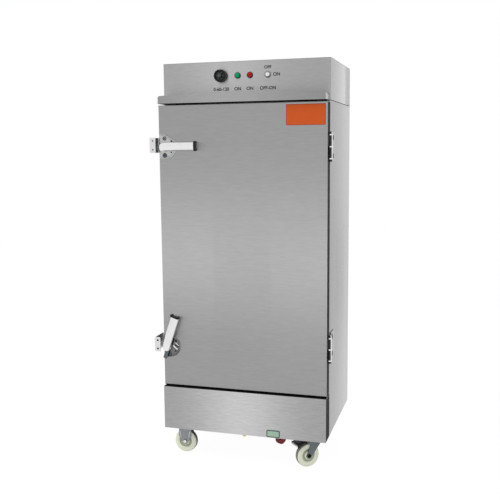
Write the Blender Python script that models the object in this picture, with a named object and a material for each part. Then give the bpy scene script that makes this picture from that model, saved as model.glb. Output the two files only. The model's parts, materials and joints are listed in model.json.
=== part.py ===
# Rice steamer cabinet: one insulated door over a steam chamber with tray racks, a water tank with
# heating tube and float valve below it, a control box on top, two lever latches and four castors.
#
# Metres, +Z up. The model stands on the ground at Z = 0, centred on its own outline in X and Y.
# Pieces are drawn in the cabinet frame: X to the right, Y to the back from the front plane of the
# body, Z up from the bottom edge of the body.

import math

import bmesh
import bpy
from mathutils import Matrix, Vector

# Driving dimensions
WIDTH = 0.700
BODY_DEPTH = 0.485
BODY_HEIGHT = 1.369
CONTROL_HEIGHT = 0.1625
CASTOR_HEIGHT = 0.133
WALL = 0.040
SHEET = 0.0012
LINER_SHEET = 0.0010

# Clearances
FIT = 0.0003
RUNNING_FIT = 0.0005
OVERRUN = 0.002

# Body casing and front frame
CASING_CORNER = 0.005
CASING_RETURN = 0.020
SEAM_GROOVE = 0.0025
FRAME_DEPTH = 0.018
FRAME_SILL = 0.026

# Control box, its cover and the canopy strip under it
COVER_FLANGE = 0.012
VISOR_REACH = 0.079
VISOR_INSET = 0.005
VISOR_DROP = 0.0025
VISOR_END_HEIGHT = 0.030
VISOR_CROWN_HEIGHT = 0.0405
VISOR_CORNER = 0.008

# Front skirt and base frame
SKIRT_REACH = 0.0767
SKIRT_HEIGHT = 0.1826
SKIRT_CORNER = 0.003
BASE_HEIGHT = 0.020
BASE_PLATE = 0.003
BASE_RAIL = 0.125
BASE_OPENING_FRONT = 0.060
BASE_OPENING_BACK = 0.085

# Door
DOOR_REACH = 0.0624
DOOR_BOTTOM_GAP = 0.0061
DOOR_TOP_GAP = 0.0089
DOOR_CORNER = 0.003
DOOR_SKIN_DEPTH = 0.040
DOOR_BACK_GAP = 0.0105
DOOR_RIB_HEIGHT = 0.004
DOOR_RIB_INSET = 0.060
DOOR_RIB_SLOPE = 0.006
GASKET_LAP = 0.006
GASKET_WIDTH = 0.014
GASKET_GAP = 0.0006

# Hinges
HINGE_AXIS_OUT = 0.0092
HINGE_AXIS_FORWARD = 0.047
HINGE_UPPER_DROP = 0.182
HINGE_LOWER_RISE = 0.1928
KNUCKLE_RADIUS = 0.0078
KNUCKLE_HEIGHT = 0.041
HINGE_RING_RADIUS = 0.0089
HINGE_RING_HEIGHT = 0.005
HINGE_FINIAL_HEIGHT = 0.010
HINGE_PIN_RADIUS = 0.004
HINGE_LEAF_REACH = 0.072
HINGE_LEAF_START = 0.003
HINGE_LEAF_HEIGHT = 0.114
HINGE_LEAF_THICKNESS = 0.0055
HINGE_LEAF_CORNER = 0.008
HINGE_ARM_THICKNESS = 0.0033
HINGE_DOOR_LEAF_THICKNESS = 0.0022
HINGE_DOOR_LEAF_FRONT = 0.060
HINGE_DOOR_LEAF_BACK = 0.016

# Latches
LATCH_PIVOT_INSET = 0.024
LATCH_UPPER_DROP = 0.182
LATCH_LOWER_RISE = 0.1638
LATCH_LOWER_OPEN = math.radians(71)
LATCH_BASE_THICKNESS = 0.004
LATCH_BASE_LEFT = 0.021
LATCH_BASE_RIGHT = 0.049
LATCH_BASE_TOP = 0.058
LATCH_BASE_BOTTOM = 0.043
LATCH_BASE_NOSE_TOP = 0.028
LATCH_BASE_NOSE_BOTTOM = 0.013
LATCH_BASE_HEEL = 0.033
LATCH_BASE_HEEL_BOTTOM = 0.034
LATCH_BASE_CORNER = 0.008
LATCH_BASE_SHOULDER = 0.005
LATCH_BASE_NOSE_CORNER = 0.012
LATCH_BOSS_RADIUS = 0.015
LATCH_BOSS_HEIGHT = 0.002
LATCH_HUB_RADIUS = 0.012
LATCH_PIN_RADIUS = 0.004
LATCH_PIN_LENGTH = 0.011
LATCH_BACK_GAP = 0.016
LATCH_TONGUE_GAP = 0.0010
LATCH_TONGUE_THICKNESS = 0.006
LATCH_TONGUE_LENGTH = 0.050
LATCH_TONGUE_HEIGHT = 0.016
LEVER_LENGTH = 0.136
LEVER_TAIL = 0.015
LEVER_WIDTH = 0.036
LEVER_DEPTH = 0.016
LEVER_EDGE = 0.003
LEVER_RISE = 0.008
LEVER_SHELL = 0.003
CAP_THICKNESS = 0.0085
CAP_BEAD_RADIUS = 0.006
CAP_HEIGHT = 0.041
CAP_SIDE_GAP = 0.0005

# Keepers
KEEPER_OUT = 0.034
KEEPER_HEIGHT = 0.062
KEEPER_RISE = 0.0125
KEEPER_SHEET = 0.003
KEEPER_LIP = 0.026
KEEPER_TONGUE_GAP = 0.003
KEEPER_FOOT_START = 0.004
KEEPER_FOOT_LENGTH = 0.056
KEEPER_CORNER = 0.004

# Controls on the front of the control box
CONTROL_ROW_Z = 0.1055
TIMER_X = -0.0985
GREEN_LAMP_X = -0.0285
RED_LAMP_X = 0.0230
SWITCH_X = 0.0970
KNOB_RADIUS = 0.026
KNOB_DEPTH = 0.020
KNOB_FLUTE_DEPTH = 0.0016
KNOB_FLUTES = 16
KNOB_DISH_RADIUS = 0.0195
KNOB_DISH_DEPTH = 0.005
KNOB_BOSS_RADIUS = 0.008
KNOB_BOSS_DEPTH = 0.004
KNOB_GAP = 0.0015
KNOB_SHAFT_RADIUS = 0.003
KNOB_SHAFT_LENGTH = 0.014
TIMER_BUSH_RADIUS = 0.005
TIMER_BUSH_NOSE = 0.001
TIMER_SIZE = 0.044
TIMER_DEPTH = 0.038
LAMP_BEZEL_RADIUS = 0.0125
LAMP_BEZEL_DEPTH = 0.003
LAMP_LENS_RADIUS = 0.0105
LAMP_LENS_DEPTH = 0.006
LAMP_BARREL_RADIUS = 0.008
LAMP_BARREL_DEPTH = 0.030
LAMP_NUT_RADIUS = 0.011
LAMP_NUT_DEPTH = 0.004
SWITCH_BEZEL_RADIUS = 0.013
SWITCH_BEZEL_DEPTH = 0.007
SWITCH_SEAT_RADIUS = 0.009
SWITCH_SEAT_DEPTH = 0.005
SWITCH_BODY_RADIUS = 0.010
SWITCH_BODY_DEPTH = 0.034
SWITCH_NUT_RADIUS = 0.014
SWITCH_NUT_DEPTH = 0.004
ROTOR_RADIUS = 0.0084
ROTOR_DEPTH = 0.0055
ROTOR_BAR_WIDTH = 0.005
ROTOR_BAR_HEIGHT = 0.003
CONTACTOR_INSET = 0.150
CONTACTOR_Y = 0.300
CONTACTOR_WIDTH = 0.055
CONTACTOR_LENGTH = 0.080
CONTACTOR_HEIGHT = 0.060
CONTACTOR_STEP = 0.014
CONTACTOR_LEDGE = 0.018

# Steam chamber fittings
RACK_TOP_GAP = 0.055
RACK_PITCH = 0.088
RACK_FIRST = 0.060
RACK_LEDGE = 0.020
RACK_LEDGE_THICKNESS = 0.003
RACK_POST = 0.008
RACK_POST_WIDTH = 0.012
RACK_POST_INSET = 0.060
RACK_END_GAP = 0.010
RACK_POST_RISE = 0.050

# Water tank and its fittings
TANK_SHEET = 0.0015
TANK_ABOVE_SKIRT = 0.0044
TANK_FRONT = 0.008
TANK_SIDE_GAP = 0.002
TANK_RIM = 0.030
TANK_RIM_FRONT = 0.004
HEATER_RADIUS = 0.006
HEATER_RISE = 0.045
HEATER_FRONT = 0.095
HEATER_PITCH = 0.060
HEATER_RUNS = 6
HEATER_LEFT_GAP = 0.045
HEATER_RIGHT_GAP = 0.045
HEATER_TERMINAL = 0.018
HEATER_NUT_RADIUS = 0.011
HEATER_NUT_LENGTH = 0.006
FLOAT_X = 0.160
FLOAT_DROP = 0.035
FLOAT_PIPE_RADIUS = 0.010
FLOAT_FLANGE_RADIUS = 0.016
FLOAT_FLANGE = 0.004
FLOAT_FORK_LENGTH = 0.034
FLOAT_FORK_WIDTH = 0.016
FLOAT_FORK_SLOT = 0.006
FLOAT_FORK_HEIGHT = 0.016
FLOAT_PIVOT_BACK = 0.026
FLOAT_ARM_LENGTH = 0.125
FLOAT_ARM_RADIUS = 0.0025
FLOAT_ARM_DROP = 0.014
FLOAT_BALL_RADIUS = 0.030
INLET_STICKOUT = 0.024
VENT_DROP = 0.099
VENT_X = 0.150
VENT_RADIUS = 0.016
VENT_BORE = 0.012
VENT_FLANGE_RADIUS = 0.026
VENT_FLANGE = 0.003
VENT_STICKOUT = 0.024
GLAND_Z = 0.045
GLAND_INSET = 0.120
GLAND_RADIUS = 0.010
GLAND_BORE = 0.006
GLAND_NUT_RADIUS = 0.015
GLAND_NUT = 0.008
GLAND_DOME = 0.012
GLAND_INSIDE = 0.010
OVERFLOW_X = -0.0244
OVERFLOW_Y = 0.028
OVERFLOW_RADIUS = 0.0078
OVERFLOW_BORE = 0.0060
OVERFLOW_BELOW = 0.046
OVERFLOW_DROP = 0.037
OVERFLOW_FLANGE = 0.003
OVERFLOW_FLANGE_RADIUS = 0.014
DRAIN_SIDE_INSET = 0.1975
DRAIN_Y = 0.030
DRAIN_AXIS_DROP = 0.0155
DRAIN_PIPE_RADIUS = 0.0095
DRAIN_BORE = 0.0065
DRAIN_BODY_RADIUS = 0.014
DRAIN_BODY_HALF = 0.013
DRAIN_BELOW = 0.038
DRAIN_NUT_RADIUS = 0.014
DRAIN_NUT = 0.006
BONNET_RADIUS = 0.0105
BONNET_LENGTH = 0.034
STEM_RADIUS = 0.0038
STEM_BORE_DEPTH = 0.012
HANDWHEEL_RADIUS = 0.0236
HANDWHEEL_RIM = 0.0042
HANDWHEEL_LOBES = 5
HANDWHEEL_LOBE_DEPTH = 0.0016
HANDWHEEL_FORWARD = 0.068
HANDWHEEL_HUB_RADIUS = 0.0075
HANDWHEEL_HUB_HALF = 0.005
HANDWHEEL_WEB_HALF = 0.002

# Castors
CASTOR_SIDE_INSET = 0.065
CASTOR_FRONT_Y = 0.011
CASTOR_BACK_INSET = 0.065
CASTOR_PLATE_LENGTH = 0.095
CASTOR_PLATE_WIDTH = 0.065
CASTOR_PLATE = 0.0035
WHEEL_RADIUS = 0.050
WHEEL_WIDTH = 0.028
WHEEL_TREAD_ROUND = 0.004
WHEEL_RIM = 0.012
WHEEL_DISH = 0.005
WHEEL_HUB_RADIUS = 0.014
WHEEL_BORE = 0.0066
AXLE_RADIUS = 0.0060
AXLE_HEAD_RADIUS = 0.0085
AXLE_HEAD = 0.005
FORK_SHEET = 0.003
FORK_SIDE_GAP = 0.0015
FORK_TIP_RADIUS = 0.013
RIGID_FORK_TOP = 0.056
RIGID_FORK_SHOULDER = 0.0235
SWIVEL_TRAIL = 0.033
SWIVEL_TURN_FRONT = math.radians(40)
SWIVEL_TURN_BACK = math.radians(15)
RACE_RADIUS = 0.0285
RACE_HEIGHT = 0.0085
RACE_GAP = 0.0006
CROWN_SHEET = 0.0045
CROWN_FRONT = 0.027
CROWN_BACK = 0.041
KINGPIN_RADIUS = 0.006
KINGPIN_HEAD_RADIUS = 0.009
KINGPIN_HEAD = 0.004
PEDAL_PIVOT_BACK = 0.035
PEDAL_PIVOT_DROP = 0.0215
PEDAL_HUB_RADIUS = 0.0045
PEDAL_PIN_RADIUS = 0.003
PEDAL_REACH = 0.102
PEDAL_WIDTH = 0.050
PEDAL_SHEET = 0.004
PEDAL_TIP_WIDTH = 0.026
PEDAL_TIP_CORNER = 0.006
PEDAL_SLOPE_DROP = 0.006
PEDAL_NECK = 0.011
PEDAL_LIP = 0.005
PEDAL_SHOE_LENGTH = 0.012
PEDAL_SHOE_BACK = 0.016
PEDAL_SHOE_DROP = 0.0085

# Segments of round pieces
FINE = 24
COARSE = 16
SMALL = 10
CORNER_STEPS = 3
SMOOTH_ANGLE = math.radians(35)

# Places worked out from the sizes above
TOP = BODY_HEIGHT + CONTROL_HEIGHT
HALF_WIDTH = WIDTH / 2
CHAMBER_HALF = HALF_WIDTH - WALL
CHAMBER_BACK = BODY_DEPTH - WALL
CHAMBER_TOP = BODY_HEIGHT - WALL
VENT_Z = BODY_HEIGHT - VENT_DROP
DOOR_TOP = BODY_HEIGHT - DOOR_TOP_GAP
FRAME_FRONT = SHEET + FIT
FRAME_BACK = FRAME_FRONT + FRAME_DEPTH
DOOR_BOTTOM = SKIRT_HEIGHT + DOOR_BOTTOM_GAP
HINGE_LOWER_Z = DOOR_BOTTOM + HINGE_LOWER_RISE
LATCH_LOWER_Z = DOOR_BOTTOM + LATCH_LOWER_RISE
TANK_TOP = SKIRT_HEIGHT + TANK_ABOVE_SKIRT
FLOAT_Z = TANK_TOP - FLOAT_DROP
OVERFLOW_LEVEL = TANK_TOP - OVERFLOW_DROP
FRAME_BOTTOM = TANK_TOP + FIT
CHAMBER_BOTTOM = FRAME_BOTTOM + FRAME_SILL
LINER_FRONT = FRAME_BACK + FIT
VISOR_BOTTOM = BODY_HEIGHT - VISOR_DROP
HINGE_X = HALF_WIDTH + HINGE_AXIS_OUT
HINGE_UPPER_Z = BODY_HEIGHT - HINGE_UPPER_DROP
LATCH_X = -HALF_WIDTH + LATCH_PIVOT_INSET
LATCH_UPPER_Z = BODY_HEIGHT - LATCH_UPPER_DROP
LATCH_SEAT = -DOOR_REACH - FIT
BOSS_FACE = LATCH_SEAT - LATCH_BASE_THICKNESS - LATCH_BOSS_HEIGHT
TONGUE_BACK = BOSS_FACE - LATCH_TONGUE_GAP
TONGUE_FRONT = TONGUE_BACK - LATCH_TONGUE_THICKNESS
LEVER_BACK = -DOOR_REACH - LATCH_BACK_GAP
LEVER_FRONT = LEVER_BACK - LEVER_DEPTH
TANK_BOTTOM = BASE_HEIGHT + FIT
TANK_HALF = CHAMBER_HALF - TANK_SIDE_GAP
TANK_BACK = CHAMBER_BACK - TANK_SIDE_GAP
TANK_FLOOR = TANK_BOTTOM + TANK_SHEET
RACK_BOTTOM = TANK_TOP + FIT + RACK_POST_RISE
RACK_LEVELS = int((CHAMBER_TOP - RACK_TOP_GAP - RACK_BOTTOM - RACK_FIRST) / RACK_PITCH) + 1
PANEL_Z = BODY_HEIGHT + CONTROL_ROW_Z
HANDWHEEL_Y = DRAIN_Y - HANDWHEEL_FORWARD
DRAIN_X = HALF_WIDTH - DRAIN_SIDE_INSET
BASE_OPENING_HALF = HALF_WIDTH - BASE_RAIL
CONTACTOR_X = HALF_WIDTH - CONTACTOR_INSET
GLAND_X = HALF_WIDTH - GLAND_INSET
DRAIN_Z = -DRAIN_AXIS_DROP
CASTOR_X = HALF_WIDTH - CASTOR_SIDE_INSET
CASTOR_BACK_Y = BODY_DEPTH - CASTOR_BACK_INSET
WHEEL_Z = WHEEL_RADIUS - CASTOR_HEIGHT
FORK_INNER = WHEEL_WIDTH / 2 + FORK_SIDE_GAP
FORK_OUTER = FORK_INNER + FORK_SHEET
KEEPER_OUTER = HALF_WIDTH + KEEPER_OUT
FLOAT_PIVOT_Y = TANK_BACK - TANK_SHEET - FLOAT_PIVOT_BACK - FLOAT_FLANGE

# Outline of the whole object, which places the cabinet frame over the origin
REACH_LEFT = KEEPER_OUTER
REACH_RIGHT = HINGE_X + HINGE_RING_RADIUS
REACH_FRONT = -LEVER_FRONT + CAP_SIDE_GAP
REACH_BACK = BODY_DEPTH + INLET_STICKOUT
BODY_X = (REACH_LEFT - REACH_RIGHT) / 2
FRONT_Y = (REACH_FRONT - REACH_BACK) / 2


# Outlines
def arc(centre, radius, start, end, steps):
    """Points on a circular arc, both ends included."""
    points = []
    for i in range(steps + 1):
        angle = start + (end - start) * i / steps
        points.append((centre[0] + radius * math.cos(angle), centre[1] + radius * math.sin(angle)))
    return points


def filleted(corners):
    """Closed outline through (x, y, radius) corners, each rounded by its radius."""
    points = []
    count = len(corners)
    for i, (x, y, radius) in enumerate(corners):
        here = Vector((x, y))
        if radius <= 0:
            points.append((x, y))
            continue
        before = (Vector(corners[i - 1][:2]) - here).normalized()
        after = (Vector(corners[(i + 1) % count][:2]) - here).normalized()
        half = before.angle(after) / 2
        centre = here + (before + after).normalized() * (radius / math.sin(half))
        first = here + before * (radius / math.tan(half)) - centre
        last = here + after * (radius / math.tan(half)) - centre
        turn = math.atan2(first.x * last.y - first.y * last.x, first.dot(last))
        angle = math.atan2(first.y, first.x)
        points += arc(centre, radius, angle, angle + turn, CORNER_STEPS)
    return points


def rectangle(low, high, radius=0):
    """Closed rectangular outline with all corners rounded alike."""
    return filleted([
        (low[0], low[1], radius),
        (high[0], low[1], radius),
        (high[0], high[1], radius),
        (low[0], high[1], radius),
    ])


def arch(half, bottom, shoulder, crown, corner):
    """Flat-bottomed outline with a shallow arched top and rounded upper corners."""
    rise = crown - shoulder
    radius = (half * half + rise * rise) / (2 * rise)
    spread = math.asin((half - corner) / radius)
    centre = (0, crown - radius)
    top = arc(centre, radius, math.pi / 2 - spread, math.pi / 2 + spread, FINE // 2)
    edge = top[0][1]
    right = arc((half - corner, edge - corner), corner, 0, math.pi / 2, CORNER_STEPS)[:-1]
    left = arc((corner - half, edge - corner), corner, math.pi / 2, math.pi, CORNER_STEPS)[1:]
    return [(-half, bottom), (half, bottom)] + right + top + left


# Solids
def finished(bm):
    """Mesh of a closed bmesh, its faces turned outwards."""
    bmesh.ops.recalc_face_normals(bm, faces=bm.faces)
    mesh = bpy.data.meshes.new("solid")
    bm.to_mesh(mesh)
    bm.free()
    return mesh


def box(low, high):
    """Block between two opposite corners."""
    bm = bmesh.new()
    size = Vector(high) - Vector(low)
    middle = (Vector(high) + Vector(low)) / 2
    bmesh.ops.create_cube(bm, size=1, matrix=Matrix.Translation(middle) @ Matrix.Diagonal((*size, 1)))
    return finished(bm)


def prism(outline, axis, start, end):
    """Outline carried along an axis: (y, z) points along X, (x, z) along Y, (x, y) along Z."""
    bm = bmesh.new()
    place = {
        "X": lambda a, b, along: (along, a, b),
        "Y": lambda a, b, along: (a, along, b),
        "Z": lambda a, b, along: (a, b, along),
    }[axis]
    rings = [[bm.verts.new(place(a, b, along)) for a, b in outline] for along in (start, end)]
    count = len(outline)
    for i in range(count):
        j = (i + 1) % count
        bm.faces.new((rings[0][i], rings[0][j], rings[1][j], rings[1][i]))
    bm.faces.new(rings[0])
    bm.faces.new(rings[1])
    return finished(bm)


def turned(profile, centre, axis, segments):
    """Solid turned about an axis. The profile's (radius, along) points run round the material:
    from the axis back to the axis for a solid piece, or round the wall for a piece with a bore."""
    bm = bmesh.new()
    across = {"X": (1, 2, 0), "Y": (0, 2, 1), "Z": (0, 1, 2)}[axis]
    rings = []
    for radius, along in profile:
        ring = []
        for i in range(segments if radius > 0 else 1):
            angle = 2 * math.pi * i / segments
            point = list(centre)
            point[across[0]] += radius * math.cos(angle)
            point[across[1]] += radius * math.sin(angle)
            point[across[2]] += along
            ring.append(bm.verts.new(point))
        rings.append(ring)
    for k in range(len(rings)):
        one, two = rings[k - 1], rings[k]
        if len(one) == 1 and len(two) == 1:
            continue
        for i in range(segments):
            j = (i + 1) % segments
            face = [one[i % len(one)], one[j % len(one)], two[j % len(two)], two[i % len(two)]]
            bm.faces.new(list(dict.fromkeys(face)))
    return finished(bm)


def rod(radius, start, end, centre, axis, segments=COARSE):
    """Plain cylinder from start to end along an axis."""
    return turned([(0, start), (radius, start), (radius, end), (0, end)], centre, axis, segments)


def sweep(path, radius, sides):
    """Round tube along a path of points, its ends closed."""
    bm = bmesh.new()
    path = [Vector(p) for p in path]
    rings = []
    side = Vector((0, 0, 1))
    for i, point in enumerate(path):
        ahead = path[min(i + 1, len(path) - 1)] - path[max(i - 1, 0)]
        ahead.normalize()
        side = (side - ahead * side.dot(ahead)).normalized()
        other = ahead.cross(side)
        ring = []
        for k in range(sides):
            angle = 2 * math.pi * k / sides
            ring.append(bm.verts.new(point + radius * (math.cos(angle) * side + math.sin(angle) * other)))
        rings.append(ring)
    for one, two in zip(rings, rings[1:]):
        for k in range(sides):
            j = (k + 1) % sides
            bm.faces.new((one[k], one[j], two[j], two[k]))
    bm.faces.new(rings[0])
    bm.faces.new(rings[-1])
    return finished(bm)


def combined(first, second, operation):
    """Mesh of two solids under one Boolean operation."""
    whole = bpy.data.objects.new("whole", first)
    tool = bpy.data.objects.new("tool", second)
    for item in (whole, tool):
        bpy.context.scene.collection.objects.link(item)
    step = whole.modifiers.new("step", "BOOLEAN")
    step.operation = operation
    step.object = tool
    graph = bpy.context.evaluated_depsgraph_get()
    mesh = bpy.data.meshes.new_from_object(whole.evaluated_get(graph))
    for item in (whole, tool):
        bpy.data.objects.remove(item)
    return mesh


def joined(*solids):
    """Union of several solids."""
    mesh = solids[0]
    for other in solids[1:]:
        mesh = combined(mesh, other, "UNION")
    return mesh


def without(mesh, *cutters):
    """A solid less its cutters."""
    for cutter in cutters:
        mesh = combined(mesh, cutter, "DIFFERENCE")
    return mesh


# Scene
def clear_scene():
    for item in list(bpy.data.objects):
        bpy.data.objects.remove(item)


def material(name, colour, roughness, metallic=0.0, alpha=1.0):
    made = bpy.data.materials.new(name)
    made.use_nodes = True
    shader = made.node_tree.nodes["Principled BSDF"]
    shader.inputs["Base Color"].default_value = (*colour, 1)
    shader.inputs["Roughness"].default_value = roughness
    shader.inputs["Metallic"].default_value = metallic
    shader.inputs["Alpha"].default_value = alpha
    return made


def frame(name, at, parent=None, turn=(0, 0, 0)):
    """Empty that carries a group of pieces, for instance on a joint's axis."""
    empty = bpy.data.objects.new(name, None)
    bpy.context.scene.collection.objects.link(empty)
    empty.location = at
    empty.rotation_euler = turn
    empty.parent = parent
    return empty


def part(name, mesh, look, carrier, pivot=(0, 0, 0)):
    """One named piece. Its mesh is drawn in the carrier's frame, and its origin lies at pivot."""
    mesh.name = name
    mesh.transform(Matrix.Translation(-Vector(pivot)))
    mesh.materials.clear()
    mesh.materials.append(look)
    mesh.shade_smooth()
    mesh.set_sharp_from_angle(angle=SMOOTH_ANGLE)
    piece = bpy.data.objects.new(name, mesh)
    bpy.context.scene.collection.objects.link(piece)
    piece.parent = carrier
    piece.location = pivot
    return piece


# Body
def shell_outline(inset):
    """Plan of the body and the control box, drawn in by an inset."""
    low = (inset - HALF_WIDTH, inset)
    high = (HALF_WIDTH - inset, BODY_DEPTH - inset)
    return rectangle(low, high, CASING_CORNER - inset)


def outer_casing():
    top = BODY_HEIGHT - SEAM_GROOVE
    outside = prism(shell_outline(0), "Z", 0, top)
    inside = prism(
        shell_outline(SHEET), "Z", -OVERRUN, top + OVERRUN,
    )
    window = HALF_WIDTH - CASING_RETURN
    front = box((-window, -OVERRUN, -OVERRUN), (window, SHEET + OVERRUN, top + OVERRUN))
    vent = rod(VENT_RADIUS + FIT, -WALL, OVERRUN, (VENT_X, BODY_DEPTH, VENT_Z), "Y")
    inlet = rod(FLOAT_PIPE_RADIUS + FIT, -WALL, OVERRUN, (FLOAT_X, BODY_DEPTH, FLOAT_Z), "Y")
    return without(outside, inside, front, vent, inlet)


def front_frame():
    inner_corner = CASING_CORNER - SHEET
    edge = HALF_WIDTH - SHEET - FIT
    top = BODY_HEIGHT - FIT
    plan = filleted([
        (-edge, FRAME_BACK, 0), (-edge, FRAME_FRONT, inner_corner),
        (edge, FRAME_FRONT, inner_corner), (edge, FRAME_BACK, 0),
    ])
    opening = box(
        (-CHAMBER_HALF, FRAME_FRONT - OVERRUN, CHAMBER_BOTTOM),
        (CHAMBER_HALF, FRAME_BACK + OVERRUN, CHAMBER_TOP),
    )
    pocket = without(
        box((SHEET * 2 - edge, FRAME_FRONT + SHEET, FRAME_BOTTOM + SHEET),
            (edge - SHEET * 2, FRAME_BACK + OVERRUN, top - SHEET)),
        box((-CHAMBER_HALF - SHEET, FRAME_FRONT, CHAMBER_BOTTOM - SHEET),
            (CHAMBER_HALF + SHEET, FRAME_BACK + OVERRUN * 2, CHAMBER_TOP + SHEET)),
    )
    return without(prism(plan, "Z", FRAME_BOTTOM, top), opening, pocket)


def inner_liner():
    half = CHAMBER_HALF + LINER_SHEET
    back = CHAMBER_BACK + LINER_SHEET
    outside = box((-half, LINER_FRONT, TANK_TOP + FIT), (half, back, CHAMBER_TOP + LINER_SHEET))
    inside = box((-CHAMBER_HALF, LINER_FRONT - OVERRUN, 0), (CHAMBER_HALF, CHAMBER_BACK, CHAMBER_TOP))
    vent = rod(VENT_RADIUS + FIT, -OVERRUN, WALL, (VENT_X, CHAMBER_BACK, VENT_Z), "Y")
    return without(outside, inside, vent)


def wall_insulation():
    edge = HALF_WIDTH - SHEET - FIT
    back = BODY_DEPTH - SHEET - FIT
    corner = CASING_CORNER - SHEET
    plan = filleted([
        (-edge, LINER_FRONT, 0), (edge, LINER_FRONT, 0),
        (edge, back, corner), (-edge, back, corner),
    ])
    half = CHAMBER_HALF + LINER_SHEET + FIT
    inside = box((-half, 0, 0), (half, CHAMBER_BACK + LINER_SHEET + FIT, CHAMBER_TOP + LINER_SHEET + FIT))
    vent = rod(VENT_RADIUS + FIT, -WALL, WALL, (VENT_X, back, VENT_Z), "Y")
    return without(prism(plan, "Z", TANK_TOP + FIT, BODY_HEIGHT - FIT), inside, vent)


def tray_rack(side):
    """Side rack of one wall: ledges for the trays on two flat posts. side is -1 left, 1 right."""
    wall = CHAMBER_HALF - FIT
    first = RACK_BOTTOM + RACK_FIRST
    last = first + RACK_PITCH * (RACK_LEVELS - 1)
    front = LINER_FRONT + RACK_END_GAP
    back = CHAMBER_BACK - RACK_END_GAP
    solids = []
    for y in (front + RACK_POST_INSET, back - RACK_POST_INSET - RACK_POST_WIDTH):
        spans = sorted((side * wall, side * (wall - RACK_POST)))
        high = (spans[1], y + RACK_POST_WIDTH, last + RACK_POST_RISE)
        solids.append(box((spans[0], y, RACK_BOTTOM), high))
    for level in range(RACK_LEVELS):
        z = first + RACK_PITCH * level
        spans = sorted((side * (wall - LINER_SHEET), side * (wall - RACK_LEDGE)))
        solids.append(box((spans[0], front, z), (spans[1], back, z + RACK_LEDGE_THICKNESS)))
    return joined(*solids)


def steam_vent():
    inner = CHAMBER_BACK - BODY_DEPTH - VENT_FLANGE - FIT
    return turned([
        (VENT_BORE, inner), (VENT_FLANGE_RADIUS, inner), (VENT_FLANGE_RADIUS, inner + VENT_FLANGE),
        (VENT_RADIUS, inner + VENT_FLANGE), (VENT_RADIUS, VENT_STICKOUT), (VENT_BORE, VENT_STICKOUT),
    ], (VENT_X, BODY_DEPTH, VENT_Z), "Y", COARSE)


# Control box
def control_housing():
    top = TOP - SHEET - FIT
    outside = prism(shell_outline(0), "Z", BODY_HEIGHT, top)
    inside = prism(
        shell_outline(SHEET), "Z", BODY_HEIGHT + SHEET, top + OVERRUN,
    )
    holes = []
    for x, radius in (
        (TIMER_X, TIMER_BUSH_RADIUS), (GREEN_LAMP_X, LAMP_BARREL_RADIUS),
        (RED_LAMP_X, LAMP_BARREL_RADIUS), (SWITCH_X, SWITCH_BODY_RADIUS),
    ):
        holes.append(rod(radius + FIT, -OVERRUN, SHEET + OVERRUN, (x, 0, PANEL_Z), "Y"))
    gland = (GLAND_X, BODY_DEPTH, BODY_HEIGHT + GLAND_Z)
    holes.append(rod(GLAND_RADIUS + FIT, -SHEET - OVERRUN, OVERRUN, gland, "Y"))
    return without(outside, inside, *holes)


def top_cover():
    plate = prism(shell_outline(0), "Z", TOP - SHEET, TOP)
    gap = SHEET + FIT
    low = TOP - SHEET - COVER_FLANGE
    ring = without(
        prism(shell_outline(gap), "Z", low, TOP - SHEET / 2),
        prism(shell_outline(gap + SHEET), "Z", low - OVERRUN, TOP - SHEET / 2 + OVERRUN),
    )
    return joined(plate, ring)


def visor():
    half = HALF_WIDTH - VISOR_INSET
    shoulder = VISOR_BOTTOM + VISOR_END_HEIGHT
    crown = VISOR_BOTTOM + VISOR_CROWN_HEIGHT
    outside = prism(arch(half, VISOR_BOTTOM, shoulder, crown, VISOR_CORNER), "Y", -VISOR_REACH, -FIT)
    inside = prism(
        arch(half - SHEET, VISOR_BOTTOM - OVERRUN, shoulder - SHEET, crown - SHEET, VISOR_CORNER - SHEET),
        "Y", SHEET - VISOR_REACH, OVERRUN,
    )
    return without(outside, inside)


def timer_body():
    centre = (TIMER_X, 0, PANEL_Z)
    half = TIMER_SIZE / 2
    back = SHEET + FIT
    case = box(
        (TIMER_X - half, back, PANEL_Z - half),
        (TIMER_X + half, back + TIMER_DEPTH, PANEL_Z + half),
    )
    bush = rod(TIMER_BUSH_RADIUS, -TIMER_BUSH_NOSE, back + OVERRUN, centre, "Y")
    bore_end = KNOB_SHAFT_LENGTH + OVERRUN
    bore = rod(KNOB_SHAFT_RADIUS + RUNNING_FIT, -TIMER_BUSH_NOSE - OVERRUN, bore_end, centre, "Y")
    return without(joined(case, bush), bore)


def timer_knob():
    """Fluted knob with a dished face, a centre boss and its shaft, turned about Y."""
    back = -TIMER_BUSH_NOSE - KNOB_GAP
    front = back - KNOB_DEPTH
    flutes = KNOB_FLUTES
    outline = []
    for i in range(flutes * 3):
        angle = 2 * math.pi * i / (flutes * 3)
        radius = KNOB_RADIUS - KNOB_FLUTE_DEPTH * (0.5 - 0.5 * math.cos(flutes * angle))
        outline.append((radius * math.cos(angle), radius * math.sin(angle)))
    body = prism(outline, "Y", front, back)
    dish = turned([
        (KNOB_BOSS_RADIUS, front - OVERRUN), (KNOB_DISH_RADIUS, front - OVERRUN),
        (KNOB_DISH_RADIUS, front + KNOB_DISH_DEPTH), (KNOB_BOSS_RADIUS, front + KNOB_DISH_DEPTH),
    ], (0, 0, 0), "Y", FINE)
    face = front - KNOB_BOSS_DEPTH
    boss = rod(KNOB_BOSS_RADIUS - RUNNING_FIT, face, front + KNOB_DISH_DEPTH, (0, 0, 0), "Y")
    shaft = rod(KNOB_SHAFT_RADIUS, back - OVERRUN, KNOB_SHAFT_LENGTH, (0, 0, 0), "Y", SMALL)
    return joined(without(body, dish), boss, shaft)


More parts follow.
